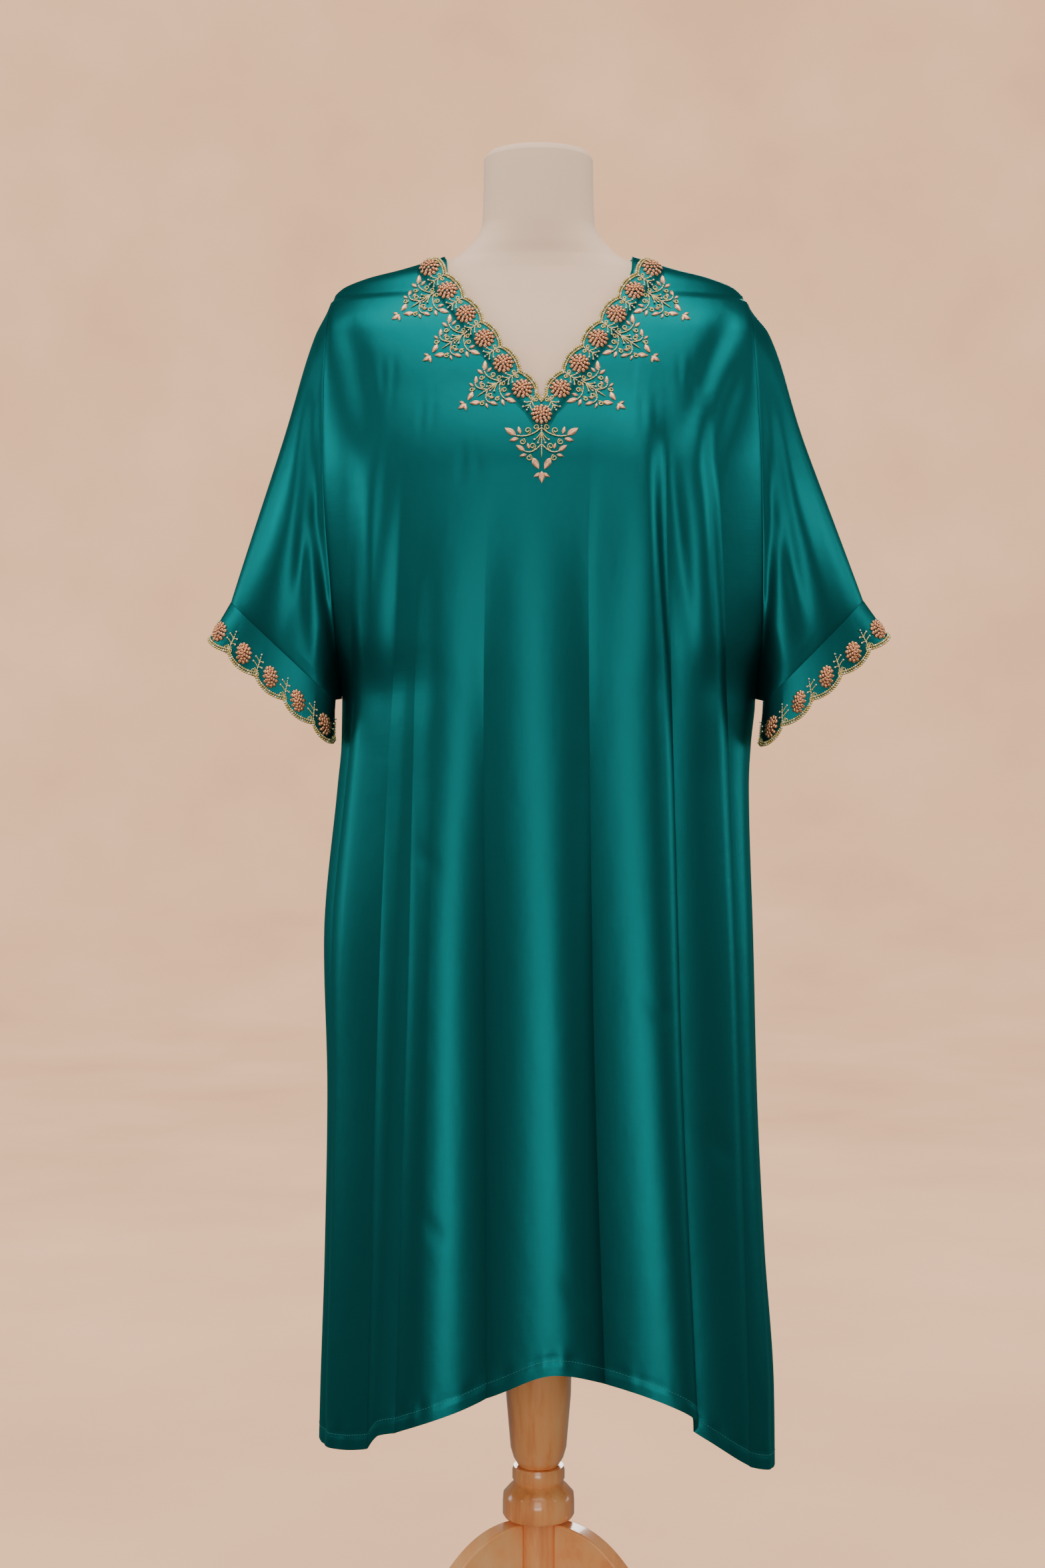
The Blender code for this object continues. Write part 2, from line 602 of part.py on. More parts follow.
def build_cuff(sleeve):
    """The cuff band, from its seam to its scalloped edge, with a raised rosette in each scallop."""
    share = np.arange(CUFF_COLUMNS) / CUFF_COLUMNS
    down = np.linspace(0, 1, CUFF_ROWS + 1)[:, None, None]
    start = cross_ring(sleeve.seam_in, sleeve.seam_out, sleeve.sign, SLEEVE_DEPTH, share)
    start = start + SEAM * seam_plane(sleeve)
    end = cross_ring(sleeve.edge_in, sleeve.edge_out, sleeve.sign, CUFF_DEPTH, share)
    lobe = np.abs(np.sin(np.pi * CUFF_LOBES * share)) ** LOBE_ROUND
    end = end + CUFF_LOBE * lobe[:, None] * seam_plane(sleeve)
    grid = start + (end - start) * down
    normals = grid_normals(grid, around=True)
    middle = grid.mean(axis=1, keepdims=True)
    if np.sum(normals * (grid - middle)) < 0:
        normals = -normals
    inner = grid - EDGING * normals
    around = np.linalg.norm(np.diff(grid[2], axis=0), axis=1).sum()
    from_lobe = (np.mod(share * CUFF_LOBES, 1) - 0.5) / CUFF_LOBES * around
    depth = np.linalg.norm(end - start, axis=1)
    from_row = (down[..., 0] - 0.62) * depth
    raised = grid + dome(np.hypot(from_row, from_lobe))[..., None] * normals
    normals[0] = without(normals[0], seam_plane(sleeve))
    inner[0] = grid[0] - EDGING * normals[0]
    raised[0] = grid[0]
    return wall("cuff_" + sleeve.side, raised, raised - inner, 1.0, around=True)


def edging_frame(place):
    """Centre line of the neck edging and the way to the opening, by rosettes from the middle one."""
    near = np.abs(place) / ROSETTE_STEPS
    run = np.array([ROSETTE_BOTTOM[0] - ROSETTE_TOP[0], ROSETTE_BOTTOM[1] - ROSETTE_TOP[1]])
    sign = np.where(place < 0, -1.0, 1.0)
    x = ROSETTE_BOTTOM[0] + sign * run[0] * near
    z = ROSETTE_BOTTOM[1] - run[1] * near
    slope = run / np.hypot(*run)
    square = np.stack([sign * slope[1], 0 * place + slope[0]], axis=-1)
    turn = soft_step(np.abs(place))[:, None]
    way = unit(turn * square + (1 - turn) * np.array([0.0, 1.0]))
    reach = np.sum(way * square, axis=-1)
    return np.stack([x, z], axis=-1), way, reach


def build_edging():
    """The scalloped neck band, laid on the front panel's own surface and moved out."""
    end = ROSETTE_STEPS + EDGING_END
    place = np.linspace(-end, end, EDGING_COLUMNS + 1)
    centre, way, reach = edging_frame(place)
    lobe = np.abs(np.cos(np.pi * place)) ** LOBE_ROUND
    past = np.clip((np.abs(place) - ROSETTE_STEPS) / (EDGING_END + 0.03), 0, 1)
    round_end = np.sqrt(1 - past**2)
    to_opening = (EDGING_IN + EDGING_LOBE * lobe * (np.abs(place) > 0.5)) * round_end / reach
    to_cloth = (EDGING_OUT + EDGING_LOBE * 0.5 * lobe) * round_end / np.maximum(reach, 0.75)
    shares = np.linspace(0, 1, EDGING_ROWS + 1)[:, None]
    offset = (to_opening * (1 - shares) - to_cloth * shares)[..., None]
    flat = centre + way * offset
    x, z = flat[..., 0], flat[..., 1]
    surface = cloth_points("front", x, z)
    step = 0.0005
    along = cloth_points("front", x + step, z) - cloth_points("front", x - step, z)
    down = cloth_points("front", x, z - step) - cloth_points("front", x, z + step)
    normals = unit(np.cross(along, down))
    if normals[..., 1].mean() > 0:
        normals = -normals
    inner = surface + EDGING_LIFT * normals
    nearest = np.clip(np.round(place), -ROSETTE_STEPS, ROSETTE_STEPS)
    middles = edging_frame(nearest)[0]
    raised = inner + (EDGING + dome(np.linalg.norm(flat - middles, axis=-1)))[..., None] * normals
    return wall("neck_edging", raised, raised - inner, 1.0)


def build_form():
    """The limbless form: rings from the flat base up to the flat top of the neck."""
    angles = 2 * np.pi * np.arange(FORM_SIDES) / FORM_SIDES
    rings = []
    for height, half, front, back, power in FORM[1:]:
        x = half * np.sign(np.cos(angles)) * np.abs(np.cos(angles)) ** (2 / power)
        depth = np.where(np.sin(angles) < 0, -front, back)
        y = depth * np.sin(angles)
        rings.append(np.stack([x, y, np.full(FORM_SIDES, height)], axis=-1))
    return lofted("form_torso", np.array(rings), (0.0, NECK_MIDDLE))


def lofted(name, rings, middle):
    """A closed solid through rings, its two ends closed by fans round a middle."""
    count, sides = rings.shape[:2]
    bottom = (middle[0], middle[1], rings[0, 0, 2])
    top = (middle[0], middle[1], rings[-1, 0, 2])
    verts = list(rings.reshape(-1, 3)) + [bottom, top]
    faces = []
    for j in range(sides):
        nxt = (j + 1) % sides
        faces.append((len(verts) - 2, nxt, j))
        faces.append((len(verts) - 1, (count - 1) * sides + j, (count - 1) * sides + nxt))
        for i in range(count - 1):
            a, b = i * sides + j, i * sides + nxt
            faces.append((a, b, b + sides, a + sides))
    return add_mesh(name, verts, faces)


def build_turned(name, profile):
    """A turned wooden piece from radius and height pairs."""
    angles = 2 * np.pi * np.arange(TURNED_SIDES) / TURNED_SIDES
    rings = [
        np.stack([r * np.cos(angles), r * np.sin(angles), np.full(TURNED_SIDES, z)], axis=-1)
        for r, z in reversed(profile)
    ]
    return lofted(name, np.array(rings), (0.0, 0.0))


def bezier(points, count):
    """Points on a cubic curve, without its last."""
    points = np.array(points, float)
    t = (np.arange(count) / count)[:, None]
    weights = ((1 - t) ** 3, 3 * t * (1 - t) ** 2, 3 * t**2 * (1 - t), t**3)
    return sum(weight * point for weight, point in zip(weights, points))


def build_leg(name, angle):
    """One board leg, cut along its outline and stood on its flat foot."""
    inner = HUB_RADIUS + LEG_HUB_GAP
    join = (inner, LEG_JOIN_BOTTOM)
    heel = LEG_REACH - FOOT_LENGTH
    outline = np.concatenate(
        [
            bezier([(inner, LEG_TOP), (0.110, LEG_TOP), (0.128, 0.120), (LEG_REACH - 0.02, 0.034)], 12),
            bezier([(LEG_REACH - 0.02, 0.034), (LEG_REACH, 0.026), (LEG_REACH, 0.010), (LEG_REACH, 0)], 5),
            [(LEG_REACH, 0.0), (heel, 0.0)],
            bezier([(heel, 0.0), (heel - 0.02, FOOT_HEIGHT), (0.105, 0.070), join], 10)[1:],
            [join],
        ]
    )
    count = len(outline)
    half = LEG_THICKNESS / 2
    verts = [(half, -r, z) for r, z in outline] + [(-half, -r, z) for r, z in outline]
    faces = [tuple(range(count)), tuple(reversed(range(count, 2 * count)))]
    for j in range(count):
        nxt = (j + 1) % count
        faces.append((j, j + count, nxt + count, nxt))
    leg = add_mesh(name, verts, faces)
    leg.rotation_euler[2] = math.radians(angle)
    bevel = leg.modifiers.new("rounded edges", "BEVEL")
    bevel.width = LEG_BEVEL
    bevel.segments = 1
    bevel.limit_method = "ANGLE"
    bevel.angle_limit = math.radians(60)
    return leg


def give_material(obj, name, colour, roughness, metallic=0.0):
    material = bpy.data.materials.get(name) or bpy.data.materials.new(name)
    material.use_nodes = True
    shader = material.node_tree.nodes["Principled BSDF"]
    shader.inputs["Base Color"].default_value = (*colour, 1.0)
    shader.inputs["Roughness"].default_value = roughness
    shader.inputs["Metallic"].default_value = metallic
    obj.data.materials.append(material)


def stand_on_origin():
    """Moves every object so that the middle of the whole box lies over the origin."""
    bpy.context.view_layer.update()
    corners = []
    for obj in bpy.context.scene.objects:
        turn = np.array(obj.matrix_world)
        points = np.array([vert.co[:] for vert in obj.data.vertices])
        corners.append(points @ turn[:3, :3].T + turn[:3, 3])
    points = np.concatenate(corners)
    middle = (points.min(axis=0) + points.max(axis=0)) / 2
    for obj in bpy.context.scene.objects:
        obj.location[0] -= middle[0]
        obj.location[1] -= middle[1]
    print("the pole's axis is at", [round(float(-value), 5) for value in middle[:2]])


def main():
    for obj in list(bpy.data.objects):
        bpy.data.objects.remove(obj, do_unlink=True)
    satin = [build_panel("front"), build_panel("back")]
    satin += [build_sleeve(sleeve) for sleeve in SLEEVES]
    trim = [build_cuff(sleeve) for sleeve in SLEEVES] + [build_edging()]
    for obj in satin:
        give_material(obj, "teal satin", TEAL, 0.3)
    for obj in trim:
        give_material(obj, "gold embroidery", GOLD, 0.4, 0.5)
    give_material(build_form(), "linen cover", LINEN, 0.85)
    hub = ((HUB_RADIUS, HUB_TOP), (HUB_RADIUS, HUB_BOTTOM + 0.006), (HUB_RADIUS - 0.006, HUB_BOTTOM))
    wood = [build_turned("pole", POLE), build_turned("pole_collar", COLLAR), build_turned("stand_hub", hub)]
    wood += [build_leg(name, angle) for name, angle in LEGS]
    for obj in wood:
        give_material(obj, "honey wood", HONEY, 0.25)
    stand_on_origin()


main()
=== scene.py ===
"""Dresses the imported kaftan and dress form: fine creased cloth, beadwork, wood, light and camera.

The cloth, form and wood repeat part.py's tables and shape functions with finer steps. They are measured
from the pole's axis on the floor, with X to the viewer's right, Y to the back and Z up, and add_mesh
moves them to where the frame has the pole. Left and right are as seen from the front.
"""
import math
from collections import namedtuple

import bmesh
import bpy
import numpy as np
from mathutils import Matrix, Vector


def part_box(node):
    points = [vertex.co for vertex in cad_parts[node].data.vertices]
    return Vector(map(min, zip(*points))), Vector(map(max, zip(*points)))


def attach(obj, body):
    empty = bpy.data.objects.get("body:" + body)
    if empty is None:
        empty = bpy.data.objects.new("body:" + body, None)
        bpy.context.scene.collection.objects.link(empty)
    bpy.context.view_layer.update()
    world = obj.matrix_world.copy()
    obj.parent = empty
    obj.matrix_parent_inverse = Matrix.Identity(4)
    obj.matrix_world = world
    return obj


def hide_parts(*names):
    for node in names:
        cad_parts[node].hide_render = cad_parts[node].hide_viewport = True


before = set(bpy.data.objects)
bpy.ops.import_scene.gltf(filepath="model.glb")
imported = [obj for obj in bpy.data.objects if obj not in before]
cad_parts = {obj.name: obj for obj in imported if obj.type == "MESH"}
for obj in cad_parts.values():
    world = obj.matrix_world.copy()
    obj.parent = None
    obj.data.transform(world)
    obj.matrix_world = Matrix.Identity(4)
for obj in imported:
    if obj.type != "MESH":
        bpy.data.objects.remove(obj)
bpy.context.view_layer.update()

POLE_LOW, POLE_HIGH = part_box("pole")
AXIS = np.array([(POLE_LOW[0] + POLE_HIGH[0]) / 2, (POLE_LOW[1] + POLE_HIGH[1]) / 2, 0.0])

# The camera, from the pole's axis; it looks level, straight to the back
CAMERA_PLACE = (-0.016, -2.178, 0.960)
CAMERA_LENS = 50.0
SENSOR_WIDTH = 36.0

# Walls and seams, in metres
FABRIC = 0.0009
BAND = 0.0008
SEAM = 0.0003
EDGING_LIFT = 0.0014

# How finely the scene's pieces are divided
GAP_COLUMNS = 26
BACK_GAP_COLUMNS = 24
TOP_ROWS = 46
ARMHOLE_ROWS = 26
SKIRT_ROWS = 98
TOP_BAND = 0.13
# Passes that settle the upper edge, and how the rows close up towards the shoulder and the hem
TOP_PASSES = 12
TOP_CLOSE = 1.6
HEM_CLOSE = 1.4
SECTION_STEP = 0.01
SLEEVE_COLUMNS = 140
SLEEVE_ROWS = 90
CUFF_COLUMNS = 200
CUFF_ROWS = 16
EDGING_COLUMNS = 390
EDGING_ROWS = 20
FORM_SIDES = 96
FORM_RINGS = 120
TURNED_SIDES = 72
SURFACE_STEP = 0.0005
# Edges that turn by more than this many degrees stay sharp, on cloth and on solids
SHARP_TURN = 32.0
SOLID_TURN = 40.0

# The kaftan's plain body at each height: half width on the left and right, depth of the front and
# back middle, where the armhole's edges lie, and how sharply the section turns at its sides
BODY = (
    ("height", "left", "right", "front", "back", "front_edge", "back_edge", "turn"),
    (1.485, 0.0930, 0.0930, -0.0485, 0.0565, 0.000, 0.000, 2.0),
    (1.471, 0.1420, 0.1420, -0.0490, 0.0565, 0.000, 0.000, 2.0),
    (1.462, 0.1770, 0.1770, -0.0520, 0.0590, 0.000, 0.000, 2.0),
    (1.453, 0.1975, 0.1975, -0.0550, 0.0620, 0.000, 0.000, 2.0),
    (1.444, 0.2050, 0.2050, -0.0590, 0.0660, 0.000, 0.000, 2.0),
    (1.435, 0.2058, 0.2070, -0.0630, 0.0710, -0.024, 0.020, 1.9),
    (1.400, 0.2070, 0.2090, -0.0790, 0.0860, -0.056, 0.046, 1.6),
    (1.350, 0.2085, 0.2110, -0.0990, 0.0985, -0.070, 0.060, 1.35),
    (1.260, 0.2080, 0.2145, -0.1265, 0.1030, -0.082, 0.068, 1.2),
    (1.150, 0.2016, 0.2165, -0.1295, 0.1040, -0.074, 0.062, 1.2),
    (1.099, 0.1980, 0.2170, -0.1290, 0.1035, -0.056, 0.048, 1.4),
    (1.045, 0.1965, 0.2165, -0.1280, 0.1030, 0.000, 0.000, 2.0),
    (1.000, 0.1970, 0.2120, -0.1275, 0.1030, 0.000, 0.000, 2.1),
    (0.960, 0.2007, 0.2100, -0.1270, 0.1030, 0.000, 0.000, 2.1),
    (0.800, 0.2145, 0.2145, -0.1270, 0.1060, 0.000, 0.000, 2.1),
    (0.656, 0.2110, 0.2180, -0.1275, 0.1090, 0.000, 0.000, 2.1),
    (0.500, 0.2135, 0.2255, -0.1290, 0.1130, 0.000, 0.000, 2.1),
    (0.360, 0.2180, 0.2350, -0.1300, 0.1170, 0.000, 0.000, 2.1),
    (0.280, 0.2200, 0.2360, -0.1300, 0.1200, 0.000, 0.000, 2.1),
)
SECTION_ROUND = 2.3
SHOULDER_TIP = 1.444
NECK_POINT = 1.485
UNDERARM = 1.045

# Folds that run down a panel: where the crest lies across the panel at four heights, the height at
# which it starts, how far it stands out at three heights, the share of the way to the next crest at
# which the valley between them lies, how much of the lower crest fills that valley, how flat the top
# is, and how far it leans over for each metre that it stands out
Fold = namedtuple("Fold", "name top chest knee hem start out_chest out_knee out_hem valley fill power lean")
FOLD_HEIGHTS = (1.40, 1.15, 0.75, 0.36)
OUT_HEIGHTS = (1.10, 0.75, 0.36)
FOLD_FADE = 0.20
# Valleys are soft above this band of heights and sharp below it
SHARP_BELOW = 0.95
SHARP_RUN = 0.30
FRONT_FOLDS = (
    Fold("left side", -0.150, -0.158, -0.190, -0.199, 1.34, 0.009, 0.004, 0.005, 0.60, 0.9, 1.8, -0.4),
    Fold("left pleat", -0.093, -0.121, -0.136, -0.1495, 1.17, 0.006, 0.009, 0.012, 0.18, 0.9, 1.5, -0.9),
    Fold("left ridge", -0.052, -0.090, -0.099, -0.103, 1.24, 0.006, 0.018, 0.020, 0.46, 0.1, 2.0, 0.0),
    Fold("middle ridge", 0.002, -0.004, 0.008, 0.016, 1.28, 0.007, 0.016, 0.017, 0.53, 0.0, 2.0, 0.25),
    Fold("right pleat", 0.093, 0.102, 0.109, 0.130, 1.36, 0.013, 0.021, 0.027, 0.50, 0.0, 1.9, 0.8),
    Fold("right ripple", 0.142, 0.156, 0.178, 0.188, 1.38, 0.010, 0.009, 0.010, 0.55, 0.1, 2.0, 0.3),
    Fold("right side", 0.178, 0.196, 0.207, 0.219, 1.12, 0.003, 0.003, 0.004, 0.60, 0.0, 2.0, 0.0),
)
BACK_FOLDS = (
    Fold("back left side", -0.158, -0.166, -0.176, -0.184, 1.26, 0.010, 0.012, 0.013, 0.45, 0.0, 2.0, -0.4),
    Fold("back left pleat", -0.093, -0.105, -0.112, -0.120, 1.22, 0.010, 0.017, 0.021, 0.55, 0.2, 2.1, -0.8),
    Fold("back left ridge", -0.045, -0.050, -0.052, -0.056, 1.28, 0.007, 0.011, 0.014, 0.45, 0.3, 2.2, 0.2),
    Fold("back middle", 0.010, 0.014, 0.012, 0.006, 1.30, 0.009, 0.012, 0.012, 0.50, 0.1, 2.3, 0.0),
    Fold("back right pleat", 0.093, 0.084, 0.082, 0.080, 1.24, 0.010, 0.018, 0.022, 0.50, 0.0, 2.2, 0.8),
    Fold("back right side", 0.160, 0.158, 0.164, 0.172, 1.28, 0.011, 0.013, 0.014, 0.60, 0.0, 2.0, 0.5),
)
SIDE_VALLEY = 0.40
SIDE_CALM = 0.07
# Which way a panel faces along Y
FACING = {"front": -1, "back": 1}

# The neck: the front's edge is a straight V whose last stretch turns up to the neck point
V_BOTTOM = (0.002, 1.3236)
V_RISE = 1.46
V_STRAIGHT = 0.0885
BACK_NECK_DIP = 0.017

# Hem heights across each panel, from -1 at the left side seam to 1 at the right
HEMS = (
    ("across", "front", "back"),
    (-1.00, 0.311, 0.311),
    (-0.74, 0.325, 0.346),
    (-0.60, 0.347, 0.372),
    (-0.24, 0.381, 0.420),
    (0.05, 0.408, 0.434),
    (0.28, 0.394, 0.418),
    (0.55, 0.358, 0.376),
    (0.66, 0.337, 0.352),
    (0.82, 0.306, 0.318),
    (1.00, 0.284, 0.284),
)

# Sleeves: the cuff seam's outer and inner end and the scalloped edge's outer and inner end, each
# across and up, and how far the shoulder rounds out past the armhole
Sleeve = namedtuple("Sleeve", "side sign seam_out seam_in edge_out edge_in rounding")
SLEEVES = (
    Sleeve("left", -1, (0.3025, 1.139), (0.2005, 1.043), (0.3215, 1.105), (0.2015, 1.003), 0.004),
    Sleeve("right", 1, (0.3185, 1.141), (0.2215, 1.042), (0.3415, 1.108), (0.2175, 1.000), 0.008),
)
SLEEVE_DEPTH = 0.036
CUFF_DEPTH = 0.034
CUFF_MIDDLE = -0.030
ROUNDING_PLACE = 0.16
ROUNDING_WIDTH = 0.20
ROUNDING_START = 0.12
ROUNDING_FROM = 0.72
ROUNDING_UP = 0.5
OVAL_ROUND = 0.58
# Sleeve folds fan out from the shoulder: place along the layer from underarm to shoulder at the
# armhole and at the cuff, width as a share of the layer, and how far they stand out
SLEEVE_FOLDS = (
    ("armhole", "cuff", "width", "out"),
    (0.10, 0.04, 0.10, -0.006),
    (0.34, 0.27, 0.12, 0.005),
    (0.52, 0.50, 0.08, -0.005),
    (0.68, 0.70, 0.09, 0.004),
    (0.82, 0.86, 0.06, -0.003),
)
ARMHOLE_TUCK = 0.004
TUCK_PLACE = 0.16
TUCK_WIDTH = 0.14
FULLNESS = 0.026

# Scallops and rosettes of the neck edging and the cuffs
ROSETTE_TOP = (-0.107, 1.4655)
ROSETTE_BOTTOM = (0.002, 1.3094)
ROSETTE_STEPS = 6
EDGING_IN = 0.009
EDGING_LOBE = 0.005
EDGING_OUT = 0.011
EDGING_END = 0.31
# Where the band's inner edge falls to the cloth: how far past it, and over what width
EDGING_PAST = 0.0015
EDGING_FALL = 0.006
CUFF_LOBES = 10
CUFF_LOBE = 0.006
# The ring that a cuff's length is measured on: its points, and its share of the way to the edge
RING_POINTS = 400
RING_LEVEL = 0.8
LOBE_ROUND = 0.7

# The dress form: half width, front and back depth, and how square its section is
FORM = (
    ("height", "half", "front", "back", "round"),
    (0.785, 0.1250, -0.0780, 0.0880, 2.3),
    (0.795, 0.1500, -0.0980, 0.1060, 2.3),
    (0.830, 0.1640, -0.1050, 0.0985, 2.3),
    (0.870, 0.1680, -0.1060, 0.0980, 2.3),
    (0.950, 0.1550, -0.0990, 0.0960, 2.3),
    (1.070, 0.1270, -0.0830, 0.0800, 2.3),
    (1.160, 0.1420, -0.1030, 0.0880, 2.3),
    (1.220, 0.1600, -0.1160, 0.0955, 2.3),
    (1.260, 0.1690, -0.1185, 0.0975, 2.3),
    (1.310, 0.1770, -0.1070, 0.0965, 2.3),
    (1.360, 0.1840, -0.0905, 0.0930, 2.3),
    (1.400, 0.1880, -0.0755, 0.0820, 2.3),
    (1.425, 0.1890, -0.0640, 0.0710, 2.3),
    (1.440, 0.1860, -0.0570, 0.0640, 2.3),
    (1.4480, 0.1800, -0.0540, 0.0605, 2.3),
    (1.4540, 0.1710, -0.0515, 0.0580, 2.3),
    (1.4675, 0.1360, -0.0470, 0.0545, 2.3),
    (1.4820, 0.0880, -0.0455, 0.0535, 2.3),
    (1.492, 0.0740, -0.0470, 0.0560, 2.2),
    (1.505, 0.0620, -0.0480, 0.0580, 2.1),
    (1.517, 0.0567, -0.0490, 0.0590, 2.0),
    (1.550, 0.0550, -0.0490, 0.0590, 2.0),
    (1.583, 0.0545, -0.0485, 0.0585, 2.0),
    (1.589, 0.0500, -0.0440, 0.0540, 2.0),
)
NECK_MIDDLE = 0.005

# The turned pole and its collar: radius at each height, from the top down
POLE = (
    (0.0330, 0.7847),
    (0.0335, 0.4000),
    (0.0325, 0.3500),
    (0.0280, 0.2980),
    (0.0250, 0.2880),
    (0.0200, 0.2795),
)
COLLAR = (
    (0.0250, 0.2792),
    (0.0262, 0.2750),
    (0.0262, 0.2670),
    (0.0240, 0.2635),
    (0.0290, 0.2590),
    (0.0352, 0.2520),
    (0.0358, 0.2440),
    (0.0358, 0.2320),
    (0.0340, 0.2290),
)
HUB_RADIUS = 0.0225
HUB_TOP = 0.2287
HUB_BOTTOM = 0.060
HUB_BEVEL = 0.006
HUB = ((HUB_RADIUS, HUB_TOP), (HUB_RADIUS, HUB_BOTTOM + HUB_BEVEL), (HUB_RADIUS - HUB_BEVEL, HUB_BOTTOM))
# The turned pieces: name, profile and the node that each replaces
TURNED = (("turned_pole", POLE, "pole"), ("turned_collar", COLLAR, "pole_collar"), ("hub", HUB, "stand_hub"))

# The legs: boards with a rounded shoulder, an S curve and a flat foot. Angles are from straight ahead
LEG_THICKNESS = 0.020
LEG_REACH = 0.235
LEG_TOP = 0.226
LEG_JOIN_BOTTOM = 0.072
LEG_HUB_GAP = 0.0003
FOOT_LENGTH = 0.060
FOOT_HEIGHT = 0.016
LEG_BEVEL = 0.002
LEG_BEVEL_STEPS = 3
LEG_BEVEL_TURN = 60.0
# Points on a leg's upper curve, round its toe and on its lower curve
LEG_POINTS = (40, 14, 32)
LEGS = (("leg_front_left", -60.0), ("leg_front_right", 60.0), ("leg_back", 180.0))

# Fine creases: a curved path, how wide it is and how far it stands out. Paths on the
# panels are across and up in metres; on the sleeves they are the place on the layer from underarm to
# shoulder and the share of the way down
Crease = namedtuple("Crease", "path width out")
CREASE_STEPS = 8
CREASE_EDGE = 0.05
FRONT_CREASES = (
    Crease(((0.192, 1.425), (0.160, 1.360), (0.125, 1.262)), 0.013, -0.0034),
    Crease(((0.200, 1.375), (0.176, 1.320), (0.152, 1.225)), 0.011, -0.0026),
    Crease(((-0.192, 1.418), (-0.170, 1.360), (-0.158, 1.250)), 0.014, -0.0026),
    Crease(((-0.142, 1.300), (-0.152, 1.220), (-0.163, 1.100)), 0.010, -0.0030),
    Crease(((0.120, 1.300), (0.128, 1.220), (0.146, 1.080)), 0.009, -0.0030),
    Crease(((-0.150, 1.372), (-0.151, 1.352), (-0.149, 1.328)), 0.0044, -0.0006),
    Crease(((-0.139, 1.374), (-0.140, 1.350), (-0.142, 1.322)), 0.0040, -0.0005),
    Crease(((-0.112, 1.332), (-0.113, 1.312), (-0.111, 1.290)), 0.0044, -0.0006),
    Crease(((-0.100, 1.334), (-0.101, 1.310), (-0.104, 1.288)), 0.0038, -0.0004),
    Crease(((-0.072, 1.286), (-0.074, 1.268), (-0.073, 1.244)), 0.0044, -0.0006),
    Crease(((-0.060, 1.288), (-0.060, 1.266), (-0.057, 1.246)), 0.0040, -0.0004),
    Crease(((0.074, 1.286), (0.075, 1.266), (0.078, 1.242)), 0.0044, -0.0006),
    Crease(((0.110, 1.332), (0.112, 1.312), (0.110, 1.286)), 0.0044, -0.0006),
    Crease(((0.098, 1.334), (0.099, 1.312), (0.097, 1.292)), 0.0038, -0.0004),
    Crease(((0.146, 1.374), (0.148, 1.352), (0.146, 1.324)), 0.0044, -0.0006),
    Crease(((0.134, 1.376), (0.135, 1.354), (0.134, 1.330)), 0.0038, -0.0004),
    Crease(((-0.094, 1.060), (-0.082, 1.046), (-0.070, 1.050)), 0.006, -0.0008),
    Crease(((0.094, 0.760), (0.110, 0.742), (0.128, 0.745)), 0.006, -0.0009),
    Crease(((-0.118, 0.905), (-0.104, 0.880), (-0.092, 0.884)), 0.007, -0.0009),
    Crease(((-0.112, 0.560), (-0.098, 0.530), (-0.086, 0.536)), 0.007, -0.0009),
    Crease(((0.020, 0.505), (0.034, 0.470), (0.046, 0.476)), 0.008, -0.0008),
    Crease(((0.160, 0.640), (0.172, 0.600), (0.186, 0.606)), 0.008, -0.0010),
)
BACK_CREASES = (
    Crease(((-0.190, 1.420), (-0.150, 1.370), (-0.110, 1.300)), 0.013, -0.0030),
    Crease(((0.192, 1.416), (0.156, 1.366), (0.118, 1.290)), 0.012, -0.0028),
    Crease(((-0.196, 1.340), (-0.170, 1.270), (-0.160, 1.180)), 0.011, -0.0026),
    Crease(((0.198, 1.330), (0.176, 1.262), (0.166, 1.170)), 0.011, -0.0026),
    Crease(((-0.060, 1.450), (-0.010, 1.428), (0.052, 1.449)), 0.010, -0.0016),
    Crease(((-0.090, 0.900), (-0.070, 0.872), (-0.052, 0.880)), 0.009, -0.0010),
    Crease(((0.050, 0.690), (0.074, 0.652), (0.096, 0.660)), 0.009, -0.0011),
    Crease(((-0.150, 0.560), (-0.128, 0.520), (-0.106, 0.530)), 0.008, -0.0010),
)
# How much of the solid's sleeve folds the satin keeps, as a share
SLEEVE_FOLD_SHARE = 0.5
SLEEVE_CREASES = {
    "left": (Crease(((0.92, 0.02), (0.55, 0.30), (0.30, 0.92)), 0.090, -0.0020),),
    "right": (
        Crease(((0.94, 0.02), (0.78, 0.36), (0.74, 0.96)), 0.070, -0.0022),
        Crease(((0.86, 0.03), (0.50, 0.36), (0.44, 0.94)), 0.080, -0.0018),
    ),
    "back": (
        Crease(((0.94, 0.02), (0.66, 0.36), (0.60, 0.94)), 0.060, -0.0032),
        Crease(((0.46, 0.06), (0.30, 0.44), (0.27, 0.94)), 0.060, -0.0026),
    ),
}

# The turned-up hem and its stitches, in metres
HEM_TURN = 0.014
HEM_LAYER = 0.0007
HEM_PINCH = 0.0006
HEM_GATHER = 0.0009
# Waves of the gathers along the hem, in radians a metre
GATHER_WAVES = (290, 61, 43)
HEM_PINCH_WIDTH = 0.0022
HEM_GATHER_WIDTH = 0.010
STITCH = 0.0022
STITCH_GAP = 0.0009
STITCH_MARGIN = 0.006
STITCH_POINTS = 5
STITCH_LIFT = 0.0001
STITCH_THREAD = 0.00022
EDGING_TAPER = 0.30

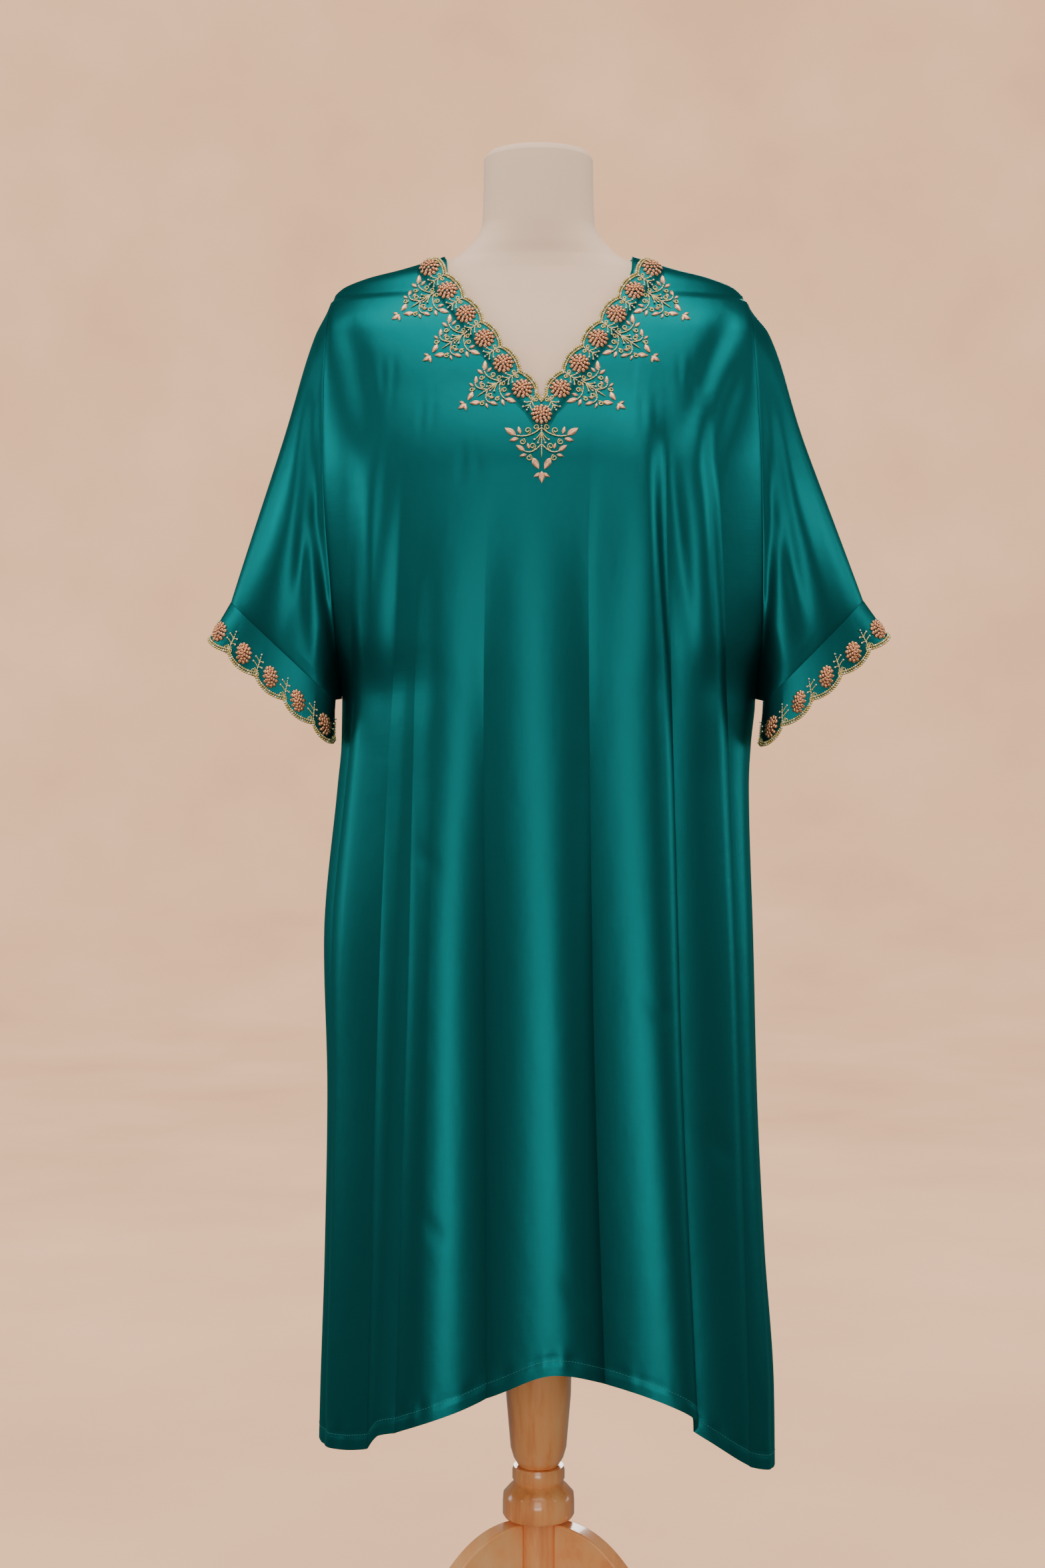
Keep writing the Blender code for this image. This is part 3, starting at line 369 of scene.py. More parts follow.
# Beadwork, in metres. Edge rows: how far in from the edge, bead radius and lift. Rosette rings: ring
# radius, how many beads, half length, half width, lift and tilt. Spray tiers: level, reach and leaf
# length. Spray places count the rosettes from the middle one, and the scale is across and along
BAND_EDGE = 0.0003
CORD_SIDES = 6
CORD_END = 0.3
THREAD = 0.00055
LEAF_WIDTH = 0.52
LEAF_RISE = 0.0016
# A leaf of length 1: rows and columns, and how deep and wide its vein is
LEAF_GRID = (9, 7)
LEAF_VEIN = 0.55
LEAF_VEIN_WIDTH = 0.22
SMALL_BEAD = 0.0009
END_BEAD = 0.0012
BEAD_PITCH = 1.9
PALE_EVERY = 5
PALE_FIRST = 2
PALE_SIZE = 1.1
EDGE_ROWS = ((0.0006, 0.0013, 0.0005), (0.0031, 0.0011, 0.0005))
ROSETTE_RISE = 0.0036
ROSETTE_MIDDLE = (0.0014, 0.0014, 0.0011)
ROSETTE_RINGS = (
    (0.0082, 12, 0.0024, 0.0019, 0.0006, 0.45),
    (0.0054, 9, 0.0021, 0.0017, 0.0018, 0.32),
    (0.0027, 5, 0.0018, 0.0015, 0.0030, 0.15),
)
SPRAY_TIERS = ((0.0200, 0.0250, 0.0130), (0.0355, 0.0165, 0.0100))
SPRAY_FAN = (0.0035, 0.0068)
# A scroll: its points, how many turns it makes and the share of its radius that it winds in
CURL_POINTS = 16
CURL_TURNS = 1.35
CURL_IN = 0.72
SPRIG_STALKS = ((0.0048, 0.0082), (0.0056, 0.0042))
SPRAY_PLACES = (1.6, 3.5, 5.2)
SPRAY_SCALE = (0.74, 0.93)
CUFF_ROSETTE_LEVEL = 0.0150
CUFF_SPRIG_LEVEL = 0.0085
CUFF_SPRIG_SCALE = (1.1, 1.25)
# The patch of front cloth that the beadwork is laid on: lowest, highest and how many, across and up
PATCH_ACROSS = (-0.19, 0.19, 381)
PATCH_UP = (1.225, 1.4865, 262)

# Colours, from deep to light
SATIN_COLOURS = ((0.0, 0.078, 0.080), (0.0005, 0.128, 0.132))
THREAD_COLOURS = ((0.01, 0.16, 0.16), (0.03, 0.26, 0.26))
LINEN_COLOURS = ((1.0, 0.60, 0.41), (1.0, 0.74, 0.55))
WOOD_COLOURS = ((0.74, 0.21, 0.05), (1.0, 0.40, 0.125), (1.0, 0.54, 0.22))
# The beadwork's heaps: name of the work, then name, deep and light colour and roughness of its metal
METALS = (
    ("gold_work", "gold thread", (0.52, 0.37, 0.10), (0.88, 0.72, 0.34), 0.32),
    ("pale_beads", "pale gold beads", (0.80, 0.70, 0.50), (0.95, 0.90, 0.74), 0.20),
    ("rosettes", "copper beads", (0.58, 0.22, 0.10), (0.95, 0.52, 0.30), 0.22),
    ("leaves", "pink gold thread", (0.66, 0.30, 0.16), (0.92, 0.54, 0.33), 0.38),
)

# Lights, from the pole's axis: name, place, target, size, power and colour
WARM_FRONT = (1.0, 0.97, 0.93)
WARM_SIDE = (1.0, 0.96, 0.92)
LIGHTS = (
    ("key", (-0.15, -2.9, 1.05), (0.0, 0.0, 0.85), (1.1, 2.0), 20.0, WARM_FRONT),
    ("low_front", (-0.1, -2.5, 0.10), (0.0, 0.0, 0.45), (1.0, 0.5), 8.0, WARM_FRONT),
    ("top_front", (-0.1, -2.5, 3.3), (0.0, 0.0, 1.40), (2.4, 1.3), 16.0, WARM_FRONT),
    ("overhead", (0.0, -0.7, 3.4), (0.0, 0.0, 1.40), (2.0, 1.2), 42.0, WARM_FRONT),
    ("right_sleeve", (2.9, -1.0, 2.1), (0.27, 0.0, 1.22), (1.4, 0.8), 20.0, WARM_FRONT),
    ("left_sleeve", (-2.9, -1.0, 2.1), (-0.27, 0.0, 1.22), (1.4, 0.8), 26.0, WARM_FRONT),
    ("right_side", (3.2, 0.9, 1.5), (0.0, 0.0, 0.9), (0.8, 2.0), 22.0, WARM_SIDE),
    ("left_side", (-3.2, 0.9, 1.5), (0.0, 0.0, 0.9), (0.8, 2.0), 24.0, WARM_SIDE),
    ("back_soft", (0.4, 3.4, 2.1), (0.0, 0.0, 0.95), (1.3, 1.7), 80.0, WARM_FRONT),
)
WORLD_COLOUR = (1.0, 0.90, 0.80)
WORLD_STRENGTH = 0.24
BACKDROP_DEEP = (0.78, 0.43, 0.235)
BACKDROP_LIGHT = (0.94, 0.53, 0.305)
BACKDROP_BASE = (0.10, 0.07, 0.045)
BACKDROP_GLOW = 1.55
# The backdrop: radius and height of each of its rings
STAGE_SIDES = 96
STAGE_PROFILE = (
    (2.0, 0.0),
    (5.5, 0.0),
    (6.4, 0.1),
    (7.2, 0.45),
    (7.8, 1.1),
    (8.1, 2.2),
    (8.2, 4.5),
    (8.2, 7.0),
)


def read(table, name, at):
    """The named column at a place, eased between the table's rows without swinging past them."""
    rows = np.array(sorted(table[1:]), float)
    return eased(rows[:, 0], rows[:, table[0].index(name)], at)


def eased(places, values, at):
    """A smooth line through rising places that stays between each two neighbours."""
    places = np.asarray(places, float)
    values = np.asarray(values, float)
    steps = np.diff(places)
    slopes = np.diff(values) / steps
    bends = np.zeros(len(places))
    before, after = slopes[:-1], slopes[1:]
    agree = before * after > 0
    bends[1:-1][agree] = 2 * before[agree] * after[agree] / (before[agree] + after[agree])
    bends[0], bends[-1] = slopes[0], slopes[-1]
    at = np.clip(at, places[0], places[-1])
    k = np.clip(np.searchsorted(places, at, side="right") - 1, 0, len(steps) - 1)
    t = (at - places[k]) / steps[k]
    start = (2 * t**3 - 3 * t**2 + 1) * values[k] + (t**3 - 2 * t**2 + t) * steps[k] * bends[k]
    end = (3 * t**2 - 2 * t**3) * values[k + 1] + (t**3 - t**2) * steps[k] * bends[k + 1]
    return start + end


def soft_step(t):
    """0 below 0, 1 above 1, and a smooth rise between."""
    t = np.clip(t, 0.0, 1.0)
    return t * t * (3 - 2 * t)


def unit(vectors):
    """The vectors at length 1."""
    return vectors / np.maximum(np.linalg.norm(vectors, axis=-1, keepdims=True), 1e-12)


def bell(t):
    """1 at 0, falling away to 0 on both sides."""
    return np.exp(-(t**2))


def turns(count):
    """Evenly spaced angles round a circle."""
    return 2 * np.pi * np.arange(count) / count


def bent_path(start, middle, end, count=12):
    """Points on a curve from start to end that is drawn towards its middle."""
    t = np.linspace(0, 1, count)[:, None]
    return (1 - t) ** 2 * np.array(start) + 2 * t * (1 - t) * np.array(middle) + t**2 * np.array(end)


def run_along(line):
    """How far along a line each of its points is."""
    return np.concatenate([[0], np.cumsum(np.linalg.norm(np.diff(line, axis=0), axis=1))])


def points_at(at, run, line):
    """Points of a line at places given in the same measure as its run."""
    return np.stack([np.interp(at, run, line[:, k]) for k in range(3)], axis=-1)


def half_width(x, height):
    """The plain body's half width on the side that x is on."""
    return np.where(np.asarray(x) < 0, read(BODY, "left", height), read(BODY, "right", height))


def fold_out(fold, height):
    """How far a fold's crest stands out at a height."""
    levels = OUT_HEIGHTS[::-1]
    outs = (fold.out_hem, fold.out_knee, fold.out_chest)
    return eased(levels, outs, height) * soft_step((fold.start - height) / FOLD_FADE)


def fold_place(fold, height):
    """Where a fold's crest lies on the plain section, before it leans over."""
    levels = FOLD_HEIGHTS[::-1]
    shown = eased(levels, (fold.hem, fold.knee, fold.chest, fold.top), height)
    return shown - fold.lean * fold_out(fold, height)


def folds_of(panel):
    """The named folds of a panel, from left to right."""
    return FRONT_FOLDS if panel == "front" else BACK_FOLDS


def valley_shares(panel):
    """Where each valley lies between the two crests, or the seam and the crest, on its sides."""
    return [SIDE_VALLEY] + [fold.valley for fold in folds_of(panel)]


def fold_lines(panel, height):
    """Places on the plain section of the seams and crests, and of the valleys between them."""
    crests = [-read(BODY, "left", height)]
    crests += [fold_place(fold, height) for fold in folds_of(panel)]
    crests += [read(BODY, "right", height)]
    sides = zip(valley_shares(panel), crests[:-1], crests[1:])
    return crests, [left + share * (right - left) for share, left, right in sides]


def fold_outs(panel, height):
    """How far the seams and crests stand out, from left to right."""
    outs = [fold_out(fold, height) for fold in folds_of(panel)]
    return [0 * outs[0], *outs, 0 * outs[0]]


def valley_levels(panel, outs):
    """How far the valleys between them stand out."""
    fills = [0.0] + [fold.fill for fold in folds_of(panel)]
    return [fill * np.minimum(left, right) for fill, left, right in zip(fills, outs[:-1], outs[1:])]


def plain_depth(panel, across, height):
    """Y of the plain section at a share across it."""
    edge = read(BODY, panel + "_edge", height)
    middle = read(BODY, panel, height)
    curve = (1 - np.abs(across) ** SECTION_ROUND) ** (1 / read(BODY, "turn", height))
    return edge + (middle - edge) * curve


def cloth_points(panel, x, height):
    """Points on a panel's outer face, from x on the plain section and the height."""
    half = half_width(x, height)
    across = np.clip(x / half, -1, 1)
    y = plain_depth(panel, across, height)
    low = np.clip(across - SECTION_STEP, -1, 1)
    high = np.clip(across + SECTION_STEP, -1, 1)
    deeper = plain_depth(panel, high, height) - plain_depth(panel, low, height)
    run = unit(np.stack([half * (high - low), deeper], axis=-1))
    facing = FACING[panel]
    outward = np.stack([-facing * run[..., 1], facing * run[..., 0]], axis=-1)
    calm = soft_step((1 - np.abs(across)) / SIDE_CALM)
    shift = np.zeros(run.shape)
    crests, valleys = fold_lines(panel, height)
    outs = fold_outs(panel, height)
    levels = valley_levels(panel, outs)
    soft = 1 + soft_step((height - SHARP_BELOW) / SHARP_RUN)
    for k, fold in enumerate(folds_of(panel)):
        away = x - crests[k + 1]
        width = np.where(away > 0, valleys[k + 1] - crests[k + 1], crests[k + 1] - valleys[k])
        level = np.where(away > 0, levels[k + 1], levels[k])
        rise = np.clip(1 - np.abs(away / width) ** fold.power, 0, None) ** soft
        inside = calm * ((x >= valleys[k]) & (x < valleys[k + 1]))
        out = inside * (level + (outs[k + 1] - level) * rise)
        lean = inside * fold.lean * outs[k + 1] * rise
        shift += out[..., None] * outward + lean[..., None] * run
    return np.stack([across * half + shift[..., 0], y + shift[..., 1], height + 0 * y], axis=-1)


def column_shares(panel):
    """Each column as the gap between two crests that it lies in, and its share of that gap."""
    steps = GAP_COLUMNS if panel == "front" else BACK_GAP_COLUMNS
    valleys = valley_shares(panel)
    found = []
    for gap, valley in enumerate(valleys):
        before = max(4, round(steps * valley))
        shares = [*np.linspace(0, valley, before, endpoint=False)]
        shares += [*np.linspace(valley, 1, steps - before, endpoint=False)]
        found += [(gap, share) for share in shares]
    return found + [(len(valleys) - 1, 1.0)]


def columns(panel, height):
    """x of every column of a panel on the plain section, for a grid of heights."""
    guides, _ = fold_lines(panel, np.minimum(height, SHOULDER_TIP))
    x = np.zeros(height.shape)
    for j, (gap, share) in enumerate(column_shares(panel)):
        x[:, j] = (1 - share) * guides[gap][:, j] + share * guides[gap + 1][:, j]
    return x


def shoulder_height(x):
    """Height of the shoulder seam, from the same table as the body's width."""
    heights = np.linspace(SHOULDER_TIP, NECK_POINT, 200)
    halves = read(BODY, "left", heights)
    return np.interp(np.abs(x), halves[::-1], heights[::-1])


def top_edge(panel, x):
    """Height of a panel's upper edge: the shoulder seam, then the neck."""
    neck = BODY[1][1]
    if panel == "front":
        line = V_BOTTOM[1] + V_RISE * np.abs(x - V_BOTTOM[0])
        turned = V_BOTTOM[1] + V_RISE * V_STRAIGHT
        climb = soft_step((np.abs(x) - V_STRAIGHT) / (neck - V_STRAIGHT))
        edge = np.minimum(line, turned) + climb * (NECK_POINT - turned)
    else:
        edge = NECK_POINT - BACK_NECK_DIP * (1 - (x / neck) ** 2)
    return np.where(np.abs(x) >= neck, shoulder_height(x), edge)


def panel_heights(panel):
    """Heights of every row and column: fine over the shoulder, then even to the underarm and hem."""
    count = len(column_shares(panel))
    top = np.full((1, count), FOLD_HEIGHTS[0])
    for _ in range(TOP_PASSES):
        top = top_edge(panel, columns(panel, top))
    top[0, 0] = top[0, -1] = SHOULDER_TIP
    drops = TOP_BAND * (np.arange(TOP_ROWS + 1) / TOP_ROWS) ** TOP_CLOSE
    upper = top - drops[:, None]
    shares = np.arange(1, ARMHOLE_ROWS + 1)[:, None] / ARMHOLE_ROWS
    middle = upper[-1] + shares * (UNDERARM - upper[-1])
    low = np.full((1, count), FOLD_HEIGHTS[-1])
    hem = read(HEMS, panel, columns(panel, low)[0] / half_width(columns(panel, low)[0], low[0]))
    shares = 1 - (1 - np.arange(1, SKIRT_ROWS + 1)[:, None] / SKIRT_ROWS) ** HEM_CLOSE
    lower = UNDERARM + shares * (hem - UNDERARM)
    return np.concatenate([upper, middle, lower])


def crease_height(creases, across, height):
    """How far the creases lift or sink a surface at places given by two coordinates."""
    lifted = np.zeros(np.shape(across))
    for crease in creases:
        line = bent_path(*crease.path, CREASE_STEPS + 1)
        nearest = np.full(np.shape(across), np.inf)
        along = np.zeros(np.shape(across))
        for step, (a, b) in enumerate(zip(line[:-1], line[1:])):
            run = b - a
            share = np.clip(((across - a[0]) * run[0] + (height - a[1]) * run[1]) / (run @ run), 0, 1)
            distance = np.hypot(across - a[0] - share * run[0], height - a[1] - share * run[1])
            closer = distance < nearest
            nearest = np.where(closer, distance, nearest)
            along = np.where(closer, (step + share) / CREASE_STEPS, along)
        strength = np.sin(np.pi * np.clip(along, 0.03, 0.97)) ** 0.8
        lifted += crease.out * strength * bell(nearest / crease.width)
    return lifted


def creased(panel, x, height):
    """Points on a panel's outer face with its fine creases."""
    plain = cloth_points(panel, x, height)
    step = SURFACE_STEP
    along = cloth_points(panel, x + step, height) - cloth_points(panel, x - step, height)
    down = cloth_points(panel, x, height - step) - cloth_points(panel, x, height + step)
    normals = unit(np.cross(along, down))
    facing = FACING[panel]
    normals = np.where(normals[..., 1:2] * facing < 0, -normals, normals)
    creases = FRONT_CREASES if panel == "front" else BACK_CREASES
    edge = soft_step((1 - np.abs(x) / half_width(x, height)) / CREASE_EDGE)
    return plain + (edge * crease_height(creases, plain[..., 0], plain[..., 2]))[..., None] * normals


def grid_faces(rows, cols, around=False, flipped=False):
    """Four-sided faces of a grid of points. around says that the columns close on themselves."""
    spans = cols if around else cols - 1
    i, j = np.meshgrid(np.arange(rows - 1), np.arange(spans), indexing="ij")
    a = (i * cols + j).ravel()
    b = (i * cols + (j + 1) % cols).ravel()
    corners = (a, b, b + cols, a + cols) if flipped else (a, a + cols, b + cols, b)
    return np.stack(corners, axis=1)


def wall(name, outer, normals, thickness, around=False):
    """A closed thin wall of quads: the outer grid, the same grid moved inwards, and strips round it."""
    rows, cols = outer.shape[:2]
    inner = outer - thickness * normals
    verts = np.concatenate([outer.reshape(-1, 3), inner.reshape(-1, 3)])
    layer = rows * cols
    faces = [grid_faces(rows, cols, around)]
    faces += [faces[0][:, ::-1] + layer]
    a = np.arange(cols if around else cols - 1)
    b = (a + 1) % cols
    faces += [np.stack([a, b, b + layer, a + layer], axis=1)]
    a, b = a + (rows - 1) * cols, b + (rows - 1) * cols
    faces += [np.stack([b, a, a + layer, b + layer], axis=1)]
    if not around:
        a = np.arange(rows - 1) * cols
        faces += [np.stack([a + cols, a, a + layer, a + cols + layer], axis=1)]
        a = a + cols - 1
        faces += [np.stack([a, a + cols, a + cols + layer, a + layer], axis=1)]
    return add_mesh(name, verts, np.concatenate(faces).tolist(), turn=SHARP_TURN)


def add_mesh(name, verts, faces, turn=None):
    """An object from points, measured from the pole's axis, and faces.

    With a turn in degrees the faces close a volume: they are turned outwards, and edges that turn by
    more than that stay sharp."""
    mesh = bpy.data.meshes.new(name)
    mesh.from_pydata((np.asarray(verts, float) + AXIS).tolist(), [], faces)
    if turn is not None:
        work = bmesh.new()
        work.from_mesh(mesh)
        if work.calc_volume(signed=True) < 0:
            bmesh.ops.reverse_faces(work, faces=work.faces)
        work.to_mesh(mesh)
        work.free()
    mesh.shade_smooth()
    if turn is not None:
        mesh.set_sharp_from_angle(angle=math.radians(turn))
    obj = bpy.data.objects.new(name, mesh)
    bpy.context.scene.collection.objects.link(obj)
    return obj


def grid_normals(grid, around=False):
    """Normals of a grid of points, rows by columns. around says that the columns close on themselves."""
    if around:
        along = np.roll(grid, -1, axis=1) - np.roll(grid, 1, axis=1)
    else:
        along = np.gradient(grid, axis=1)
    down = np.gradient(grid, axis=0)
    return unit(np.cross(along, down))


def without(vectors, axis):
    """The vectors with their part along an axis taken out."""
    axis = np.asarray(axis, float)
    return unit(vectors - (vectors @ axis)[..., None] * axis)


def outward(grid, normals):
    """The normals of a tube's grid, turned away from its middle."""
    middle = grid.mean(axis=1, keepdims=True)
    return -normals if np.sum(normals * (grid - middle)) < 0 else normals


def sharpen(sheet, cols, chosen):
    """Keeps the chosen columns of a sheet's grid as sharp lines."""
    mesh = sheet.data
    ends = np.zeros(2 * len(mesh.edges), int)
    mesh.edges.foreach_get("vertices", ends)
    ends = np.sort(ends.reshape(-1, 2), axis=1)
    sharp = np.zeros(len(mesh.edges), bool)
    mesh.edges.foreach_get("use_edge_sharp", sharp)
    sharp |= np.isin(ends[:, 0] % cols, chosen) & (ends[:, 1] - ends[:, 0] == cols)
    mesh.edges.foreach_set("use_edge_sharp", sharp)


def build_panel(panel):
    """The front or back panel, its seam edges set half a seam back."""
    heights = panel_heights(panel)
    x = columns(panel, heights)
    grid = creased(panel, x, heights)
    seam_y = FACING[panel] * SEAM / 2
    shoulder = np.abs(x[0]) >= BODY[1][1] - 1e-6
    grid[0, shoulder, 1] = seam_y
    underarm = TOP_ROWS + ARMHOLE_ROWS
    armhole = slice(0, underarm + 1)
    sides = ((0, -1), (-1, 1))
    for j, sign in sides:
        grid[armhole, j, 0] = sign * (half_width(sign, heights[armhole, j]) - SEAM / 2)
        grid[armhole, j, 1] = read(BODY, panel + "_edge", heights[armhole, j])
        grid[underarm:, j, 1] = seam_y
        grid[0, j, 1] = seam_y
    normals = grid_normals(grid)
    if panel == "front":
        normals = -normals
    normals[0, shoulder] = without(normals[0, shoulder], (0, 1, 0))
    for j, sign in sides:
        normals[1:underarm, j] = without(normals[1:underarm, j], (1, 0, 0))
        normals[underarm:, j] = without(normals[underarm:, j], (0, 1, 0))
        normals[0, j] = (0, 0, 1)
        normals[underarm, j] = unit(np.array([sign, 0.0, -1.0]))
    grid = grid + hem_lift(grid, heights - heights[-1])[..., None] * normals
    sheet = wall(panel + "_cloth", grid, normals, FABRIC)
    valleys = valley_shares(panel)
    shares = column_shares(panel)
    chosen = [j for j, (gap, share) in enumerate(shares) if share and abs(share - valleys[gap]) < 1e-9]
    sharpen(sheet, len(shares), chosen)
    return sheet, stitch_line(panel, grid, normals, heights)


def hem_lift(grid, above):
    """The turned-up hem's second layer, drawn in along its stitches, and small gathers over it."""
    run = grid[..., 0]
    short, drift, long = GATHER_WAVES
    gathers = np.sin(run * short + 1.7 * np.sin(run * drift)) * np.sin(run * long + 0.6)
    layer = HEM_LAYER * soft_step((HEM_TURN + 0.002 - above) / 0.004)
    pinch = HEM_PINCH * bell((above - HEM_TURN) / HEM_PINCH_WIDTH)
    puckers = HEM_GATHER * gathers * bell((above - HEM_TURN) / HEM_GATHER_WIDTH)
    side = soft_step((0.97 - np.abs(np.linspace(-1, 1, grid.shape[1]))) / 0.04)
    return side * (layer - pinch + puckers)


def stitch_line(panel, grid, normals, heights):
    """Short stitches in the cloth's own thread along the turned-up hem."""
    above = heights - heights[-1]
    last = np.argmax(above < HEM_TURN, axis=0)
    cols = np.arange(grid.shape[1])
    high, low = above[last - 1, cols], above[last, cols]
    share = ((high - HEM_TURN) / (high - low))[:, None]
    line = grid[last - 1, cols] * (1 - share) + grid[last, cols] * share
    outs = unit(normals[last - 1, cols] * (1 - share) + normals[last, cols] * share)
    run = run_along(line)
    starts = np.arange(STITCH_MARGIN, run[-1] - STITCH_MARGIN, STITCH + STITCH_GAP)
    heap = Heap()
    for start in starts:
        at = np.linspace(start, start + STITCH, STITCH_POINTS)
        points = points_at(at, run, line)
        lifts = unit(points_at(at, run, outs))
        heap.cord(points + STITCH_LIFT * lifts, lifts, STITCH_THREAD)
    return heap.piece(panel + "_hem_stitches")


def oval(share):
    """A point on a flat oval at a share of its length from its inner end, the front layer first.

    Gives how far along the oval (0 inner end, 1 outer end) and how deep (-1 front, 1 back)."""
    angle = np.linspace(0, 2 * np.pi, 721)
    along = 0.5 - 0.5 * np.cos(angle)
    depth = -np.sign(np.sin(angle)) * np.abs(np.sin(angle)) ** OVAL_ROUND
    length = np.hypot(np.diff(along), np.diff(depth) * 0.16)
    shares = np.concatenate([[0], np.cumsum(length)]) / length.sum()
    share = np.mod(share, 1.0)
    return np.interp(share, shares, along), np.interp(share, shares, depth)


def armhole_ring(sign, share):
    """The armhole's edge at shares of its length, from the underarm up the front and down the back."""
    levels = np.linspace(UNDERARM, SHOULDER_TIP, 1500)
    x = sign * (half_width(sign, levels) + SEAM / 2)
    front = np.stack([x, read(BODY, "front_edge", levels), levels], axis=-1)
    back = np.stack([x, read(BODY, "back_edge", levels), levels], axis=-1)
    ring = np.concatenate([front, back[::-1]])
    run = run_along(ring)
    return points_at(share, run / run[-1], ring)


def cross_ring(start, end, sign, depth, share):
    """A flat oval ring between an inner and an outer end."""
    along, deep = oval(share)
    x = sign * (start[0] + (end[0] - start[0]) * along)
    z = start[1] + (end[1] - start[1]) * along
    return np.stack([x, CUFF_MIDDLE + depth * deep, z], axis=-1)


def seam_plane(sleeve):
    """The direction square to the cuff seam, pointing down the sleeve."""
    across = np.array([sleeve.seam_out[0] - sleeve.seam_in[0], sleeve.seam_out[1] - sleeve.seam_in[1]])
    across = across / np.hypot(*across)
    return np.array([sleeve.sign * across[1], 0.0, -across[0]])


def sleeve_points(sleeve, share, down):
    """Outer points of a sleeve at shares round it and shares of the way from armhole to cuff seam."""
    start = armhole_ring(sleeve.sign, share)
    end = cross_ring(sleeve.seam_in, sleeve.seam_out, sleeve.sign, SLEEVE_DEPTH, share)
    grid = start + (end - start) * down[..., None]
    layer = 1 - np.abs(2 * share - 1)
    facing = np.where(share < 0.5, -1.0, 1.0)
    swell = np.sin(np.pi * down)
    tuck = bell((down - TUCK_PLACE) / TUCK_WIDTH)
    out = -ARMHOLE_TUCK * tuck * np.sin(np.pi * layer) ** 0.5
    for armhole, cuff, width, rise in SLEEVE_FOLDS[1:]:
        centre = armhole + (cuff - armhole) * down
        out = out + SLEEVE_FOLD_SHARE * rise * swell * bell((layer - centre) / width)
    front = crease_height(SLEEVE_CREASES[sleeve.side], layer, down)
    fine = np.where(share < 0.5, front, crease_height(SLEEVE_CREASES["back"], layer, down))
    out = (out + fine) * np.sin(np.pi * np.clip(layer, 0, 1) * 0.98 + 0.01) ** 0.5
    out = out + FULLNESS * np.abs(swell) ** 0.8 * layer**2 * (1 - layer**10)
    grid[..., 1] += out * facing
    rounding = sleeve.rounding * bell((down - ROUNDING_PLACE) / ROUNDING_WIDTH)
    rounding = rounding * soft_step(down / ROUNDING_START)
    top = soft_step((layer - ROUNDING_FROM) / (1 - ROUNDING_FROM))
    grid[..., 0] += sleeve.sign * rounding * top
    grid[..., 2] += ROUNDING_UP * rounding * top
    return grid


def build_sleeve(sleeve):
    """A sleeve's satin tube, from the armhole to the cuff seam."""
    share, down = np.meshgrid(
        np.arange(SLEEVE_COLUMNS) / SLEEVE_COLUMNS, np.linspace(0, 1, SLEEVE_ROWS + 1)
    )
    grid = sleeve_points(sleeve, share, down)
    normals = outward(grid, grid_normals(grid, around=True))
    normals[0] = without(normals[0], (1, 0, 0))
    normals[-1] = without(normals[-1], seam_plane(sleeve))
    return wall("sleeve_cloth_" + sleeve.side, grid, normals, FABRIC, around=True)


def cuff_points(sleeve, share, down):
    """Outer points of a cuff at shares round it and shares of the way to its scalloped edge."""
    start = cross_ring(sleeve.seam_in, sleeve.seam_out, sleeve.sign, SLEEVE_DEPTH, share)
    start = start + SEAM * seam_plane(sleeve)
    end = cross_ring(sleeve.edge_in, sleeve.edge_out, sleeve.sign, CUFF_DEPTH, share)
    lobe = np.abs(np.sin(np.pi * CUFF_LOBES * share)) ** LOBE_ROUND
    end = end + CUFF_LOBE * lobe[..., None] * seam_plane(sleeve)
    return start + (end - start) * down[..., None]


def build_cuff(sleeve):
    """A cuff's band, from the seam to its scalloped edge."""
    share, down = np.meshgrid(np.arange(CUFF_COLUMNS) / CUFF_COLUMNS, np.linspace(0, 1, CUFF_ROWS + 1))
    grid = cuff_points(sleeve, share, down)
    normals = outward(grid, grid_normals(grid, around=True))
    normals[0] = without(normals[0], seam_plane(sleeve))
    return wall("cuff_band_" + sleeve.side, grid, normals, BAND, around=True)


def edging_frame(place):
    """Centre line of the neck edging and the way to the opening, by rosettes from the middle one."""
    near = np.abs(place) / ROSETTE_STEPS
    run = np.array([ROSETTE_BOTTOM[0] - ROSETTE_TOP[0], ROSETTE_BOTTOM[1] - ROSETTE_TOP[1]])
    sign = np.where(place < 0, -1.0, 1.0)
    x = ROSETTE_BOTTOM[0] + sign * run[0] * near
    z = ROSETTE_BOTTOM[1] - run[1] * near
    slope = run / np.hypot(*run)
    square = np.stack([sign * slope[1], 0 * place + slope[0]], axis=-1)
    turn = soft_step(np.abs(place))[:, None]
    way = unit(turn * square + (1 - turn) * np.array([0.0, 1.0]))
    reach = np.sum(way * square, axis=-1)
    return np.stack([x, z], axis=-1), way, reach


def edging_reach(place):
    """How far the edging reaches from its centre line to the opening and to the cloth."""
    _, _, reach = edging_frame(place)
    lobe = np.abs(np.cos(np.pi * place)) ** LOBE_ROUND
    past = np.clip((np.abs(place) - ROSETTE_STEPS) / (EDGING_END + 0.03), 0, 1)
    round_end = np.sqrt(1 - past**2)
    to_opening = (EDGING_IN + EDGING_LOBE * lobe * (np.abs(place) > 0.5)) * round_end / reach
    to_cloth = (EDGING_OUT + EDGING_LOBE * 0.5 * lobe) * round_end / np.maximum(reach, 0.75)
    return to_opening, to_cloth


